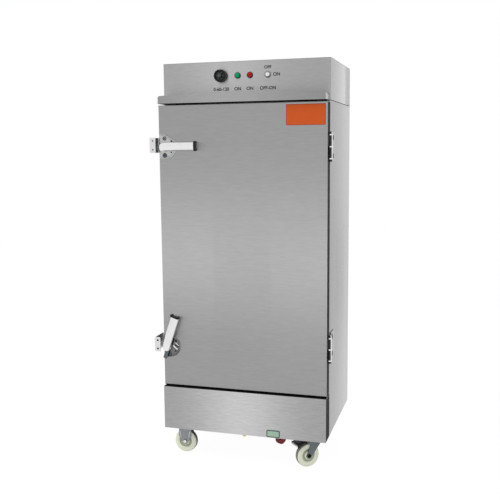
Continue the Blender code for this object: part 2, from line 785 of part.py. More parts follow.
def lamp(x):
    """Indicator lamp: bezel and domed lens in front, threaded barrel and nut behind the panel."""
    lens_face = -LAMP_BEZEL_DEPTH
    crown = lens_face - LAMP_LENS_DEPTH
    back = SHEET + FIT
    return turned([
        (0, crown), (LAMP_LENS_RADIUS * 0.6, crown + LAMP_LENS_DEPTH * 0.2),
        (LAMP_LENS_RADIUS, lens_face),
        (LAMP_BEZEL_RADIUS, lens_face), (LAMP_BEZEL_RADIUS, -FIT), (LAMP_BARREL_RADIUS, -FIT),
        (LAMP_BARREL_RADIUS, back), (LAMP_NUT_RADIUS, back), (LAMP_NUT_RADIUS, back + LAMP_NUT_DEPTH),
        (LAMP_BARREL_RADIUS, back + LAMP_NUT_DEPTH), (LAMP_BARREL_RADIUS, LAMP_BARREL_DEPTH),
        (0, LAMP_BARREL_DEPTH),
    ], (x, 0, PANEL_Z), "Y", COARSE)


def switch_body():
    """Round bezel with a seat for the rotor in front, contact block and nut behind the panel."""
    front = -SWITCH_BEZEL_DEPTH
    back = SHEET + FIT
    chamfer = SWITCH_BEZEL_DEPTH / 2
    return turned([
        (0, front + SWITCH_SEAT_DEPTH), (SWITCH_SEAT_RADIUS, front + SWITCH_SEAT_DEPTH),
        (SWITCH_SEAT_RADIUS, front),
        (SWITCH_BEZEL_RADIUS - chamfer, front), (SWITCH_BEZEL_RADIUS, front + chamfer),
        (SWITCH_BEZEL_RADIUS, -FIT),
        (SWITCH_BODY_RADIUS, -FIT), (SWITCH_BODY_RADIUS, back), (SWITCH_NUT_RADIUS, back),
        (SWITCH_NUT_RADIUS, back + SWITCH_NUT_DEPTH), (SWITCH_BODY_RADIUS, back + SWITCH_NUT_DEPTH),
        (SWITCH_BODY_RADIUS, SWITCH_BODY_DEPTH), (0, SWITCH_BODY_DEPTH),
    ], (SWITCH_X, 0, PANEL_Z), "Y", COARSE)


def switch_rotor():
    """Round rotor with a raised grip bar, turned about Y."""
    back = SWITCH_SEAT_DEPTH - SWITCH_BEZEL_DEPTH - RUNNING_FIT
    front = back - ROTOR_DEPTH
    half = ROTOR_BAR_WIDTH / 2
    reach = ROTOR_RADIUS - half
    disc = rod(ROTOR_RADIUS, front, back, (0, 0, 0), "Y")
    outline = rectangle((-half, -reach), (half, reach), half / 2)
    return joined(disc, prism(outline, "Y", front - ROTOR_BAR_HEIGHT, front + OVERRUN / 2))


def contactor():
    low = (CONTACTOR_X, CONTACTOR_Y, BODY_HEIGHT + SHEET + FIT)
    outline = [
        (0, 0), (CONTACTOR_LENGTH, 0), (CONTACTOR_LENGTH, CONTACTOR_HEIGHT - CONTACTOR_LEDGE),
        (CONTACTOR_LENGTH - CONTACTOR_STEP, CONTACTOR_HEIGHT - CONTACTOR_LEDGE),
        (CONTACTOR_LENGTH - CONTACTOR_STEP, CONTACTOR_HEIGHT), (CONTACTOR_STEP, CONTACTOR_HEIGHT),
        (CONTACTOR_STEP, CONTACTOR_HEIGHT - CONTACTOR_LEDGE), (0, CONTACTOR_HEIGHT - CONTACTOR_LEDGE),
    ]
    placed = [(low[1] + y, low[2] + z) for y, z in outline]
    return prism(placed, "X", low[0], low[0] + CONTACTOR_WIDTH)


def cable_gland():
    centre = (GLAND_X, BODY_DEPTH, BODY_HEIGHT + GLAND_Z)
    seat = FIT
    return turned([
        (GLAND_BORE, -SHEET - GLAND_INSIDE), (GLAND_RADIUS, -SHEET - GLAND_INSIDE),
        (GLAND_RADIUS, seat),
        (GLAND_NUT_RADIUS, seat), (GLAND_NUT_RADIUS, seat + GLAND_NUT),
        (GLAND_RADIUS, seat + GLAND_NUT),
        (GLAND_RADIUS, seat + GLAND_NUT + GLAND_DOME / 2),
        (GLAND_BORE + SHEET, seat + GLAND_NUT + GLAND_DOME),
        (GLAND_BORE, seat + GLAND_NUT + GLAND_DOME),
    ], centre, "Y", SMALL)


# Base, skirt and water tank
def front_skirt():
    plan = filleted([
        (-HALF_WIDTH, -FIT, 0), (-HALF_WIDTH, -SKIRT_REACH, SKIRT_CORNER),
        (HALF_WIDTH, -SKIRT_REACH, SKIRT_CORNER), (HALF_WIDTH, -FIT, 0),
    ])
    inner = SKIRT_CORNER - SHEET
    cavity = filleted([
        (SHEET - HALF_WIDTH, OVERRUN, 0), (SHEET - HALF_WIDTH, SHEET - SKIRT_REACH, inner),
        (HALF_WIDTH - SHEET, SHEET - SKIRT_REACH, inner), (HALF_WIDTH - SHEET, OVERRUN, 0),
    ])
    return without(prism(plan, "Z", 0, SKIRT_HEIGHT), prism(cavity, "Z", -OVERRUN, SKIRT_HEIGHT - SHEET))


def base_frame():
    """Tray-shaped ring under the tank, open in the middle, on which the castors are bolted."""
    edge = HALF_WIDTH - SHEET - FIT
    front = -SKIRT_REACH + SHEET + FIT
    back = BODY_DEPTH - SHEET - FIT
    corner = CASING_CORNER - SHEET
    plan = rectangle((-edge, front), (edge, back), corner)
    hole_low = (-BASE_OPENING_HALF, -BASE_OPENING_FRONT)
    hole_high = (BASE_OPENING_HALF, BODY_DEPTH - BASE_OPENING_BACK)
    opening = prism(rectangle(hole_low, hole_high), "Z", -OVERRUN, BASE_HEIGHT + OVERRUN)
    rim = SHEET * 2
    tray_plan = rectangle((rim - edge, front + rim), (edge - rim, back - rim))
    tray = without(
        prism(tray_plan, "Z", BASE_PLATE, BASE_HEIGHT + OVERRUN),
        prism(rectangle((hole_low[0] - rim, hole_low[1] - rim), (hole_high[0] + rim, hole_high[1] + rim)),
              "Z", 0, BASE_HEIGHT + OVERRUN * 2),
    )
    return without(prism(plan, "Z", 0, BASE_HEIGHT), opening, tray, *casing_return_notches())


def casing_return_notches():
    """Room in the base frame for the casing's two front returns."""
    cutters = []
    for side in (-1, 1):
        outer = side * (HALF_WIDTH + OVERRUN)
        for inset, back in ((CASING_RETURN, SHEET + FIT), (CASING_CORNER, CASING_CORNER + FIT)):
            low, high = sorted((side * (HALF_WIDTH - inset - FIT), outer))
            cutters.append(box((low, -FIT * 2, -OVERRUN), (high, back, BASE_HEIGHT + OVERRUN)))
    return cutters


def water_tank():
    outside = box((-TANK_HALF, TANK_FRONT, TANK_BOTTOM), (TANK_HALF, TANK_BACK, TANK_TOP))
    rim = box(
        (-TANK_HALF - TANK_RIM, TANK_FRONT - TANK_RIM_FRONT, TANK_TOP - TANK_SHEET),
        (TANK_HALF + TANK_RIM, TANK_BACK + TANK_RIM, TANK_TOP),
    )
    inside = box(
        (TANK_SHEET - TANK_HALF, TANK_FRONT + TANK_SHEET, TANK_FLOOR),
        (TANK_HALF - TANK_SHEET, TANK_BACK - TANK_SHEET, TANK_TOP + OVERRUN),
    )
    centre = (DRAIN_X, DRAIN_Y, TANK_BOTTOM)
    drain = rod(DRAIN_PIPE_RADIUS + FIT, -OVERRUN, TANK_SHEET + OVERRUN, centre, "Z")
    centre = (OVERFLOW_X, OVERFLOW_Y, TANK_BOTTOM)
    overflow = rod(OVERFLOW_RADIUS + FIT, -OVERRUN, TANK_SHEET + OVERRUN, centre, "Z")
    back_wall = (FLOAT_X, TANK_BACK, FLOAT_Z)
    inlet = rod(FLOAT_PIPE_RADIUS + FIT, -TANK_SHEET - OVERRUN, OVERRUN, back_wall, "Y")
    heater = []
    for y in (HEATER_FRONT, HEATER_FRONT + HEATER_PITCH * (HEATER_RUNS - 1)):
        centre = (TANK_HALF, y, TANK_FLOOR + HEATER_RISE)
        heater.append(rod(HEATER_RADIUS + FIT, -TANK_SHEET - OVERRUN, OVERRUN, centre, "X", SMALL))
    return without(joined(outside, rim), inside, drain, overflow, inlet, *heater)


def heating_element():
    """Sheathed heating tube, bent to and fro over the tank's floor, both ends out at the right."""
    bend = HEATER_PITCH / 2
    left = -TANK_HALF + HEATER_LEFT_GAP + bend
    right = TANK_HALF - HEATER_RIGHT_GAP - bend
    z = TANK_FLOOR + HEATER_RISE
    end = TANK_HALF + HEATER_TERMINAL
    path = [(end, HEATER_FRONT)]
    for run in range(HEATER_RUNS - 1):
        y = HEATER_FRONT + HEATER_PITCH * run
        if run % 2 == 0:
            path += arc((left, y + bend), bend, -math.pi / 2, -math.pi * 3 / 2, CORNER_STEPS * 2)
        else:
            path += arc((right, y + bend), bend, -math.pi / 2, math.pi / 2, CORNER_STEPS * 2)
    path.append((end, HEATER_FRONT + HEATER_PITCH * (HEATER_RUNS - 1)))
    solid = sweep([(x, y, z) for x, y in path], HEATER_RADIUS, SMALL // 2 + 1)
    for y in (path[0][1], path[-1][1]):
        face = TANK_HALF + FIT
        nut = rod(HEATER_NUT_RADIUS, face, face + HEATER_NUT_LENGTH, (0, y, z), "X", 6)
        solid = joined(solid, nut)
    return solid


def float_valve():
    """Water inlet through the rear wall with the float valve's fork in the tank."""
    wall = TANK_BACK - TANK_SHEET - FIT
    centre = (FLOAT_X, 0, FLOAT_Z)
    pipe = turned([
        (0, wall - FLOAT_FLANGE), (FLOAT_FLANGE_RADIUS, wall - FLOAT_FLANGE),
        (FLOAT_FLANGE_RADIUS, wall),
        (FLOAT_PIPE_RADIUS, wall), (FLOAT_PIPE_RADIUS, BODY_DEPTH + INLET_STICKOUT),
        (0, BODY_DEPTH + INLET_STICKOUT),
    ], centre, "Y", COARSE)
    half = FLOAT_FORK_WIDTH / 2
    slot = FLOAT_FORK_SLOT / 2
    rise = FLOAT_FORK_HEIGHT / 2
    front = wall - FLOAT_FLANGE - FLOAT_FORK_LENGTH
    fork = box(
        (FLOAT_X - half, front, FLOAT_Z - rise),
        (FLOAT_X + half, wall - FLOAT_FLANGE / 2, FLOAT_Z + rise),
    )
    gap = box(
        (FLOAT_X - slot, front - OVERRUN, FLOAT_Z - rise - OVERRUN),
        (FLOAT_X + slot, FLOAT_PIVOT_Y + FLOAT_FORK_HEIGHT, FLOAT_Z + rise + OVERRUN),
    )
    pivot = (FLOAT_X, FLOAT_PIVOT_Y, FLOAT_Z)
    hole = rod(FLOAT_ARM_RADIUS + RUNNING_FIT, -half - OVERRUN, half + OVERRUN, pivot, "X", SMALL)
    mouth = BODY_DEPTH + INLET_STICKOUT + OVERRUN
    bore = rod(FLOAT_PIPE_RADIUS / 2, wall - FLOAT_FLANGE, mouth, centre, "Y")
    seat = rod(FLOAT_PIPE_RADIUS / 4, front, wall, centre, "Y", SMALL)
    return without(joined(pipe, fork), gap, hole, bore, seat)


def float_arm():
    """Arm, pivot pin and ball of the float valve. It turns about X at its origin."""
    pin = rod(FLOAT_ARM_RADIUS, -FLOAT_FORK_WIDTH / 2, FLOAT_FORK_WIDTH / 2, (0, 0, 0), "X", SMALL)
    path = [
        (0, 0, 0),
        (0, -FLOAT_ARM_LENGTH / 2, -FLOAT_ARM_DROP / 4),
        (0, -FLOAT_ARM_LENGTH, -FLOAT_ARM_DROP),
    ]
    arm = sweep(path, FLOAT_ARM_RADIUS * 0.9, SMALL // 2 + 1)
    rings = SMALL // 2 + 1
    profile = []
    for i in range(rings + 1):
        angle = -math.pi / 2 + math.pi * i / rings
        radius = 0 if i in (0, rings) else FLOAT_BALL_RADIUS * math.cos(angle)
        profile.append((radius, FLOAT_BALL_RADIUS * math.sin(angle)))
    ball = turned(profile, (0, -FLOAT_ARM_LENGTH - FLOAT_BALL_RADIUS * 0.9, -FLOAT_ARM_DROP), "Y", COARSE)
    return joined(pin, arm, ball)


def overflow_pipe():
    seat = TANK_FLOOR + FIT
    return turned([
        (OVERFLOW_BORE, -OVERFLOW_BELOW), (OVERFLOW_RADIUS, -OVERFLOW_BELOW), (OVERFLOW_RADIUS, seat),
        (OVERFLOW_FLANGE_RADIUS, seat), (OVERFLOW_FLANGE_RADIUS, seat + OVERFLOW_FLANGE),
        (OVERFLOW_RADIUS, seat + OVERFLOW_FLANGE), (OVERFLOW_RADIUS, OVERFLOW_LEVEL),
        (OVERFLOW_BORE, OVERFLOW_LEVEL),
    ], (OVERFLOW_X, OVERFLOW_Y, 0), "Z", SMALL)


def drain_valve():
    """Gate valve under the tank: upright body, bonnet to the front, flange nut in the tank."""
    centre = (DRAIN_X, DRAIN_Y, 0)
    seat = TANK_FLOOR + FIT
    upright = turned([
        (0, -DRAIN_BELOW), (DRAIN_PIPE_RADIUS, -DRAIN_BELOW),
        (DRAIN_PIPE_RADIUS, DRAIN_Z - DRAIN_BODY_HALF),
        (DRAIN_BODY_RADIUS, DRAIN_Z - DRAIN_BODY_HALF / 2),
        (DRAIN_BODY_RADIUS, DRAIN_Z + DRAIN_BODY_HALF / 2),
        (DRAIN_PIPE_RADIUS, DRAIN_Z + DRAIN_BODY_HALF), (DRAIN_PIPE_RADIUS, seat),
        (DRAIN_NUT_RADIUS, seat),
        (DRAIN_NUT_RADIUS, seat + DRAIN_NUT), (0, seat + DRAIN_NUT),
    ], centre, "Z", COARSE)
    axis = (DRAIN_X, DRAIN_Y, DRAIN_Z)
    bonnet = rod(BONNET_RADIUS, -BONNET_LENGTH, 0, axis, "Y")
    inlet = rod(DRAIN_BORE, DRAIN_Z + DRAIN_BODY_HALF / 2, seat + DRAIN_NUT + OVERRUN, centre, "Z", SMALL)
    outlet = rod(DRAIN_BORE, -DRAIN_BELOW - OVERRUN, DRAIN_Z - DRAIN_BODY_HALF / 2, centre, "Z", SMALL)
    stem_end = STEM_BORE_DEPTH - BONNET_LENGTH
    stem_hole = rod(STEM_RADIUS + RUNNING_FIT, -BONNET_LENGTH - OVERRUN, stem_end, axis, "Y", SMALL)
    return without(joined(upright, bonnet), inlet, outlet, stem_hole)


def drain_handwheel():
    """Lobed handwheel with hub, web and stem, turned about Y."""
    outline = []
    inner = []
    steps = COARSE * 2
    for i in range(steps):
        angle = 2 * math.pi * i / steps
        lobe = HANDWHEEL_LOBE_DEPTH * (0.5 - 0.5 * math.cos(HANDWHEEL_LOBES * angle))
        radius = HANDWHEEL_RADIUS - lobe
        outline.append((radius * math.cos(angle), radius * math.sin(angle)))
        radius -= HANDWHEEL_RIM * 2
        inner.append((radius * math.cos(angle), radius * math.sin(angle)))
    half = HANDWHEEL_RIM
    front_recess = prism(inner, "Y", -half - OVERRUN, -HANDWHEEL_WEB_HALF)
    rear_recess = prism(inner, "Y", HANDWHEEL_WEB_HALF, half + OVERRUN)
    disc = without(prism(outline, "Y", -half, half), front_recess, rear_recess)
    hub = rod(HANDWHEEL_HUB_RADIUS, -HANDWHEEL_HUB_HALF, HANDWHEEL_HUB_HALF, (0, 0, 0), "Y")
    wheel = joined(disc, hub)
    stem_end = HANDWHEEL_FORWARD - BONNET_LENGTH + STEM_BORE_DEPTH - OVERRUN / 2
    stem = rod(STEM_RADIUS, 0, stem_end, (0, 0, 0), "Y", SMALL)
    return joined(wheel, stem)


# Door
def door_skin():
    back = -DOOR_REACH + DOOR_SKIN_DEPTH
    plan = filleted([
        (-HALF_WIDTH, back, 0), (-HALF_WIDTH, -DOOR_REACH, DOOR_CORNER),
        (HALF_WIDTH, -DOOR_REACH, DOOR_CORNER), (HALF_WIDTH, back, 0),
    ])
    edge = HALF_WIDTH - SHEET
    front = SHEET - DOOR_REACH
    corner = DOOR_CORNER - SHEET
    hollow = prism(filleted([
        (-edge, back + OVERRUN, 0), (-edge, front, corner),
        (edge, front, corner), (edge, back + OVERRUN, 0),
    ]), "Z", DOOR_BOTTOM + SHEET, DOOR_TOP - SHEET)
    return without(prism(plan, "Z", DOOR_BOTTOM, DOOR_TOP), hollow)


def door_inner_panel():
    """Rear pan of the door with a raised field towards the chamber."""
    front = -DOOR_REACH + DOOR_SKIN_DEPTH + FIT
    back = -DOOR_BACK_GAP
    edge = HALF_WIDTH - SHEET
    pan = without(
        box((-HALF_WIDTH, front, DOOR_BOTTOM), (HALF_WIDTH, back, DOOR_TOP)),
        box((-edge, front - OVERRUN, DOOR_BOTTOM + SHEET), (edge, back - SHEET, DOOR_TOP - SHEET)),
    )
    field = raised_field(0, back - SHEET / 2, back + DOOR_RIB_HEIGHT)
    hollow = raised_field(SHEET, back - SHEET - OVERRUN, back + DOOR_RIB_HEIGHT - SHEET)
    return without(joined(pan, field), hollow)


def raised_field(inset, start, end):
    """Block with sloping edges that fills the raised field of the door's rear pan."""
    low = (DOOR_RIB_INSET - HALF_WIDTH, DOOR_BOTTOM + DOOR_RIB_INSET)
    high = (HALF_WIDTH - DOOR_RIB_INSET, DOOR_TOP - DOOR_RIB_INSET)
    bm = bmesh.new()
    rings = []
    for step, y in ((inset, start), (inset + DOOR_RIB_SLOPE, end)):
        corners = rectangle((low[0] + step, low[1] + step), (high[0] - step, high[1] - step))
        rings.append([bm.verts.new((x, y, z)) for x, z in corners])
    for i in range(len(rings[0])):
        j = (i + 1) % len(rings[0])
        bm.faces.new((rings[0][i], rings[0][j], rings[1][j], rings[1][i]))
    bm.faces.new(rings[0])
    bm.faces.new(rings[1])
    return finished(bm)


def door_insulation():
    gap = SHEET + FIT
    return prism(filleted([
        (gap - HALF_WIDTH, -DOOR_BACK_GAP - gap, 0),
        (gap - HALF_WIDTH, gap - DOOR_REACH, DOOR_CORNER - SHEET),
        (HALF_WIDTH - gap, gap - DOOR_REACH, DOOR_CORNER - SHEET),
        (HALF_WIDTH - gap, -DOOR_BACK_GAP - gap, 0),
    ]), "Z", DOOR_BOTTOM + gap, DOOR_TOP - gap)


def door_gasket():
    half = CHAMBER_HALF + GASKET_LAP
    low = CHAMBER_BOTTOM - GASKET_LAP
    high = CHAMBER_TOP + GASKET_LAP
    front = -DOOR_BACK_GAP + FIT
    width = GASKET_WIDTH
    outer = rectangle((-half - width, low - width), (half + width, high + width), width)
    inner = rectangle((-half, low), (half, high), width / 2)
    return without(prism(outer, "Y", front, -GASKET_GAP), prism(inner, "Y", front - OVERRUN, OVERRUN))


# Hinges, drawn about the hinge's own middle height
def hinge_body_leaf(z):
    """Cast leaf on the side of the body, its lower knuckle, ring, finial and pin."""
    middle = z
    bottom = middle - HINGE_LEAF_HEIGHT / 2
    top = middle + HINGE_LEAF_HEIGHT / 2
    seat = HALF_WIDTH + FIT
    outline = filleted([
        (HINGE_LEAF_START, bottom, 0), (HINGE_LEAF_REACH, bottom, HINGE_LEAF_CORNER),
        (HINGE_LEAF_REACH, top, HINGE_LEAF_CORNER), (HINGE_LEAF_START, top, 0),
    ])
    leaf = prism(outline, "X", seat, seat + HINGE_LEAF_THICKNESS)
    knuckle_top = middle - HINGE_RING_HEIGHT / 2
    knuckle_bottom = knuckle_top - KNUCKLE_HEIGHT
    arm_outer = seat + HINGE_LEAF_THICKNESS
    arm = box(
        (arm_outer - HINGE_ARM_THICKNESS, -HINGE_AXIS_FORWARD, knuckle_bottom),
        (arm_outer, HINGE_LEAF_START + OVERRUN, knuckle_top),
    )
    axis = (HINGE_X, -HINGE_AXIS_FORWARD, 0)
    pin_top = middle + HINGE_RING_HEIGHT / 2 + KNUCKLE_HEIGHT - RUNNING_FIT
    barrel = turned([
        (0, knuckle_bottom - HINGE_RING_HEIGHT - HINGE_FINIAL_HEIGHT),
        (KNUCKLE_RADIUS * 0.6, knuckle_bottom - HINGE_RING_HEIGHT - HINGE_FINIAL_HEIGHT * 0.8),
        (KNUCKLE_RADIUS * 0.9, knuckle_bottom - HINGE_RING_HEIGHT),
        (HINGE_RING_RADIUS, knuckle_bottom - HINGE_RING_HEIGHT), (HINGE_RING_RADIUS, knuckle_bottom),
        (KNUCKLE_RADIUS, knuckle_bottom), (KNUCKLE_RADIUS, knuckle_top),
        (HINGE_RING_RADIUS, knuckle_top),
        (HINGE_RING_RADIUS, middle + HINGE_RING_HEIGHT / 2 - RUNNING_FIT),
        (HINGE_PIN_RADIUS, middle + HINGE_RING_HEIGHT / 2 - RUNNING_FIT), (HINGE_PIN_RADIUS, pin_top),
        (0, pin_top),
    ], axis, "Z", COARSE)
    return joined(leaf, arm, barrel)


def hinge_door_leaf(z):
    """Leaf on the edge of the door with the upper knuckle, its ring and cap."""
    knuckle_bottom = z + HINGE_RING_HEIGHT / 2
    knuckle_top = knuckle_bottom + KNUCKLE_HEIGHT
    seat = HALF_WIDTH + FIT
    leaf = box(
        (seat, -HINGE_DOOR_LEAF_FRONT, knuckle_bottom),
        (seat + HINGE_DOOR_LEAF_THICKNESS, -HINGE_DOOR_LEAF_BACK, knuckle_top),
    )
    axis = (HINGE_X, -HINGE_AXIS_FORWARD, 0)
    bore = HINGE_PIN_RADIUS + RUNNING_FIT
    cap = knuckle_top + HINGE_RING_HEIGHT
    barrel = turned([
        (bore, knuckle_bottom), (KNUCKLE_RADIUS, knuckle_bottom), (KNUCKLE_RADIUS, knuckle_top),
        (HINGE_RING_RADIUS, knuckle_top), (HINGE_RING_RADIUS, cap), (KNUCKLE_RADIUS * 0.9, cap),
        (KNUCKLE_RADIUS * 0.6, cap + HINGE_FINIAL_HEIGHT * 0.8), (0, cap + HINGE_FINIAL_HEIGHT),
        (0, knuckle_top), (bore, knuckle_top),
    ], axis, "Z", COARSE)
    return joined(leaf, barrel)


# Latches. The base is drawn in the cabinet frame, the lever about its pivot
def latch_base(z):
    """Fan-shaped base plate with a boss and a pin for the lever."""
    left = LATCH_X - LATCH_BASE_LEFT
    right = LATCH_X + LATCH_BASE_RIGHT
    shoulder = LATCH_X + LATCH_BASE_SHOULDER
    outline = filleted([
        (left, z - LATCH_BASE_BOTTOM, LATCH_BASE_CORNER),
        (shoulder, z - LATCH_BASE_BOTTOM, LATCH_BASE_NOSE_CORNER),
        (LATCH_X + LATCH_BASE_HEEL, z - LATCH_BASE_HEEL_BOTTOM, LATCH_BASE_NOSE_CORNER),
        (right, z - LATCH_BASE_NOSE_BOTTOM, LATCH_BASE_NOSE_CORNER),
        (right, z + LATCH_BASE_NOSE_TOP, LATCH_BASE_NOSE_CORNER),
        (shoulder, z + LATCH_BASE_TOP, LATCH_BASE_NOSE_CORNER),
        (left, z + LATCH_BASE_TOP, LATCH_BASE_CORNER),
    ])
    plate = prism(outline, "Y", LATCH_SEAT - LATCH_BASE_THICKNESS, LATCH_SEAT)
    boss = rod(LATCH_BOSS_RADIUS, BOSS_FACE, LATCH_SEAT - LATCH_BASE_THICKNESS / 2, (LATCH_X, 0, z), "Y")
    pin_end = BOSS_FACE - LATCH_PIN_LENGTH
    pin = rod(LATCH_PIN_RADIUS, pin_end, BOSS_FACE + OVERRUN / 2, (LATCH_X, 0, z), "Y", SMALL)
    return joined(plate, boss, pin)


def latch_lever():
    """Hollow-backed lever with its hub and tongue, drawn lying to the right of its pivot."""
    half = LEVER_WIDTH / 2
    section = [(LEVER_BACK, LEVER_RISE - half), (LEVER_BACK, LEVER_RISE + half)]
    flat = LEVER_EDGE
    for i in range(COARSE // 2 + 1):
        angle = math.pi * i / (COARSE // 2)
        y = LEVER_BACK - flat - (LEVER_DEPTH - flat) * math.sin(angle)
        section.append((y, LEVER_RISE + half * math.cos(angle)))
    bar = prism(section, "X", -LEVER_TAIL, LEVER_LENGTH)
    hub = rod(LATCH_HUB_RADIUS, LEVER_BACK - flat, TONGUE_BACK, (0, 0, 0), "Y")
    rise = LATCH_TONGUE_HEIGHT / 2
    tongue = box((-LATCH_TONGUE_LENGTH, TONGUE_FRONT, -rise), (0, TONGUE_BACK, rise))
    hollow_half = half - LEVER_SHELL
    hollow = []
    for i in range(COARSE // 2 + 1):
        angle = math.pi * i / (COARSE // 2)
        y = LEVER_BACK - (LEVER_DEPTH - LEVER_SHELL) * math.sin(angle)
        hollow.append((y, LEVER_RISE + hollow_half * math.cos(angle)))
    mouth = LEVER_BACK + OVERRUN
    hollow += [(mouth, LEVER_RISE - hollow_half), (mouth, LEVER_RISE + hollow_half)]
    cavity = prism(hollow, "X", LATCH_HUB_RADIUS + LEVER_SHELL, LEVER_LENGTH - LEVER_SHELL)
    bore_end = BOSS_FACE - LATCH_PIN_LENGTH - RUNNING_FIT
    bore = rod(LATCH_PIN_RADIUS + RUNNING_FIT, bore_end, TONGUE_BACK + OVERRUN, (0, 0, 0), "Y", SMALL)
    return without(joined(without(bar, cavity), hub, tongue), bore)


def latch_cap():
    """Black end cap of the lever: a bar with a bead at its top and bottom."""
    left = LEVER_LENGTH + FIT
    right = left + CAP_THICKNESS
    half = CAP_HEIGHT / 2
    back = LEVER_BACK
    front = LEVER_FRONT - CAP_SIDE_GAP
    middle = (left + right) / 2
    bead = CAP_BEAD_RADIUS
    bar = box((left, front, LEVER_RISE - half + bead), (right, back, LEVER_RISE + half - bead))
    beads = []
    for end in (-1, 1):
        centre = (middle + bead - CAP_THICKNESS / 2, 0, LEVER_RISE + end * (half - bead))
        beads.append(rod(bead, front, back, centre, "Y", SMALL))
    return joined(bar, *beads)


def keeper(z):
    """Bent strip on the body's left side, round the latch's tongue and open above and below."""
    low = z + KEEPER_RISE - KEEPER_HEIGHT / 2
    high = low + KEEPER_HEIGHT
    sheet = KEEPER_SHEET
    foot = -HALF_WIDTH - FIT
    lip_back = TONGUE_FRONT - KEEPER_TONGUE_GAP
    plan = [
        (foot, KEEPER_FOOT_START + KEEPER_FOOT_LENGTH),
        (foot - sheet, KEEPER_FOOT_START + KEEPER_FOOT_LENGTH),
        (foot - sheet, KEEPER_FOOT_START + sheet), (-KEEPER_OUTER, KEEPER_FOOT_START + sheet),
        (-KEEPER_OUTER, lip_back - sheet), (-KEEPER_OUTER + KEEPER_LIP, lip_back - sheet),
        (-KEEPER_OUTER + KEEPER_LIP, lip_back), (-KEEPER_OUTER + sheet, lip_back),
        (-KEEPER_OUTER + sheet, KEEPER_FOOT_START), (foot, KEEPER_FOOT_START),
    ]
    strip = prism(plan, "Z", low, high)
    deep = OVERRUN + sheet
    edge = -KEEPER_OUTER + KEEPER_LIP
    around = rectangle((-KEEPER_OUTER - OVERRUN, low - OVERRUN), (edge + OVERRUN, high + OVERRUN))
    corner = prism(around, "Y", lip_back - sheet - deep, lip_back + OVERRUN / 2)
    kept = rectangle((-KEEPER_OUTER, low), (edge, high), KEEPER_CORNER)
    window = prism(kept, "Y", lip_back - sheet - deep * 2, lip_back + OVERRUN)
    return without(strip, without(corner, window))


# Castors. Each is drawn about its plate's centre, heights from the body's bottom edge
def leg_outline(top_left, top_right, top, shoulder, axle_x):
    """Fork leg: straight under its top, then tapered to a round end about the axle."""
    left = top_left
    right = top_right
    centre = (axle_x, WHEEL_Z)
    steps = CORNER_STEPS * 2
    tip = arc(centre, FORK_TIP_RADIUS, -math.pi * 0.95, -math.pi * 0.05, steps)
    return [(right, top), (left, top), (left, shoulder)] + tip + [(right, shoulder)]


def axle_holes(axle_x):
    reach = FORK_OUTER + OVERRUN
    return rod(AXLE_RADIUS + FIT, -reach, reach, (axle_x, 0, WHEEL_Z), "Y", SMALL)


def rigid_fork():
    top = -FIT
    half = RIGID_FORK_TOP / 2
    plate = box(
        (-CASTOR_PLATE_LENGTH / 2, -CASTOR_PLATE_WIDTH / 2, top - CASTOR_PLATE),
        (CASTOR_PLATE_LENGTH / 2, CASTOR_PLATE_WIDTH / 2, top),
    )
    outline = leg_outline(-half, half, top - CASTOR_PLATE / 2, WHEEL_Z + RIGID_FORK_SHOULDER, 0)
    legs = []
    for side in (-1, 1):
        low, high = sorted((side * FORK_INNER, side * FORK_OUTER))
        legs.append(prism(outline, "Y", low, high))
    return without(joined(plate, *legs), axle_holes(0))


def swivel_plate():
    """Top plate of a swivel castor with its upper race and kingpin."""
    top = -FIT
    under = top - CASTOR_PLATE
    race = under - RACE_HEIGHT
    crown = race - RACE_GAP - RACE_HEIGHT - CROWN_SHEET
    head = crown - RACE_GAP
    plate = box(
        (-CASTOR_PLATE_LENGTH / 2, -CASTOR_PLATE_WIDTH / 2, under),
        (CASTOR_PLATE_LENGTH / 2, CASTOR_PLATE_WIDTH / 2, top),
    )
    pin = turned([
        (0, head - KINGPIN_HEAD), (KINGPIN_HEAD_RADIUS, head - KINGPIN_HEAD),
        (KINGPIN_HEAD_RADIUS, head),
        (KINGPIN_RADIUS, head), (KINGPIN_RADIUS, race), (RACE_RADIUS - SHEET, race),
        (RACE_RADIUS, race + RACE_HEIGHT / 2), (RACE_RADIUS, under + CASTOR_PLATE / 2),
        (0, under + CASTOR_PLATE / 2),
    ], (0, 0, 0), "Z", COARSE)
    return joined(plate, pin)


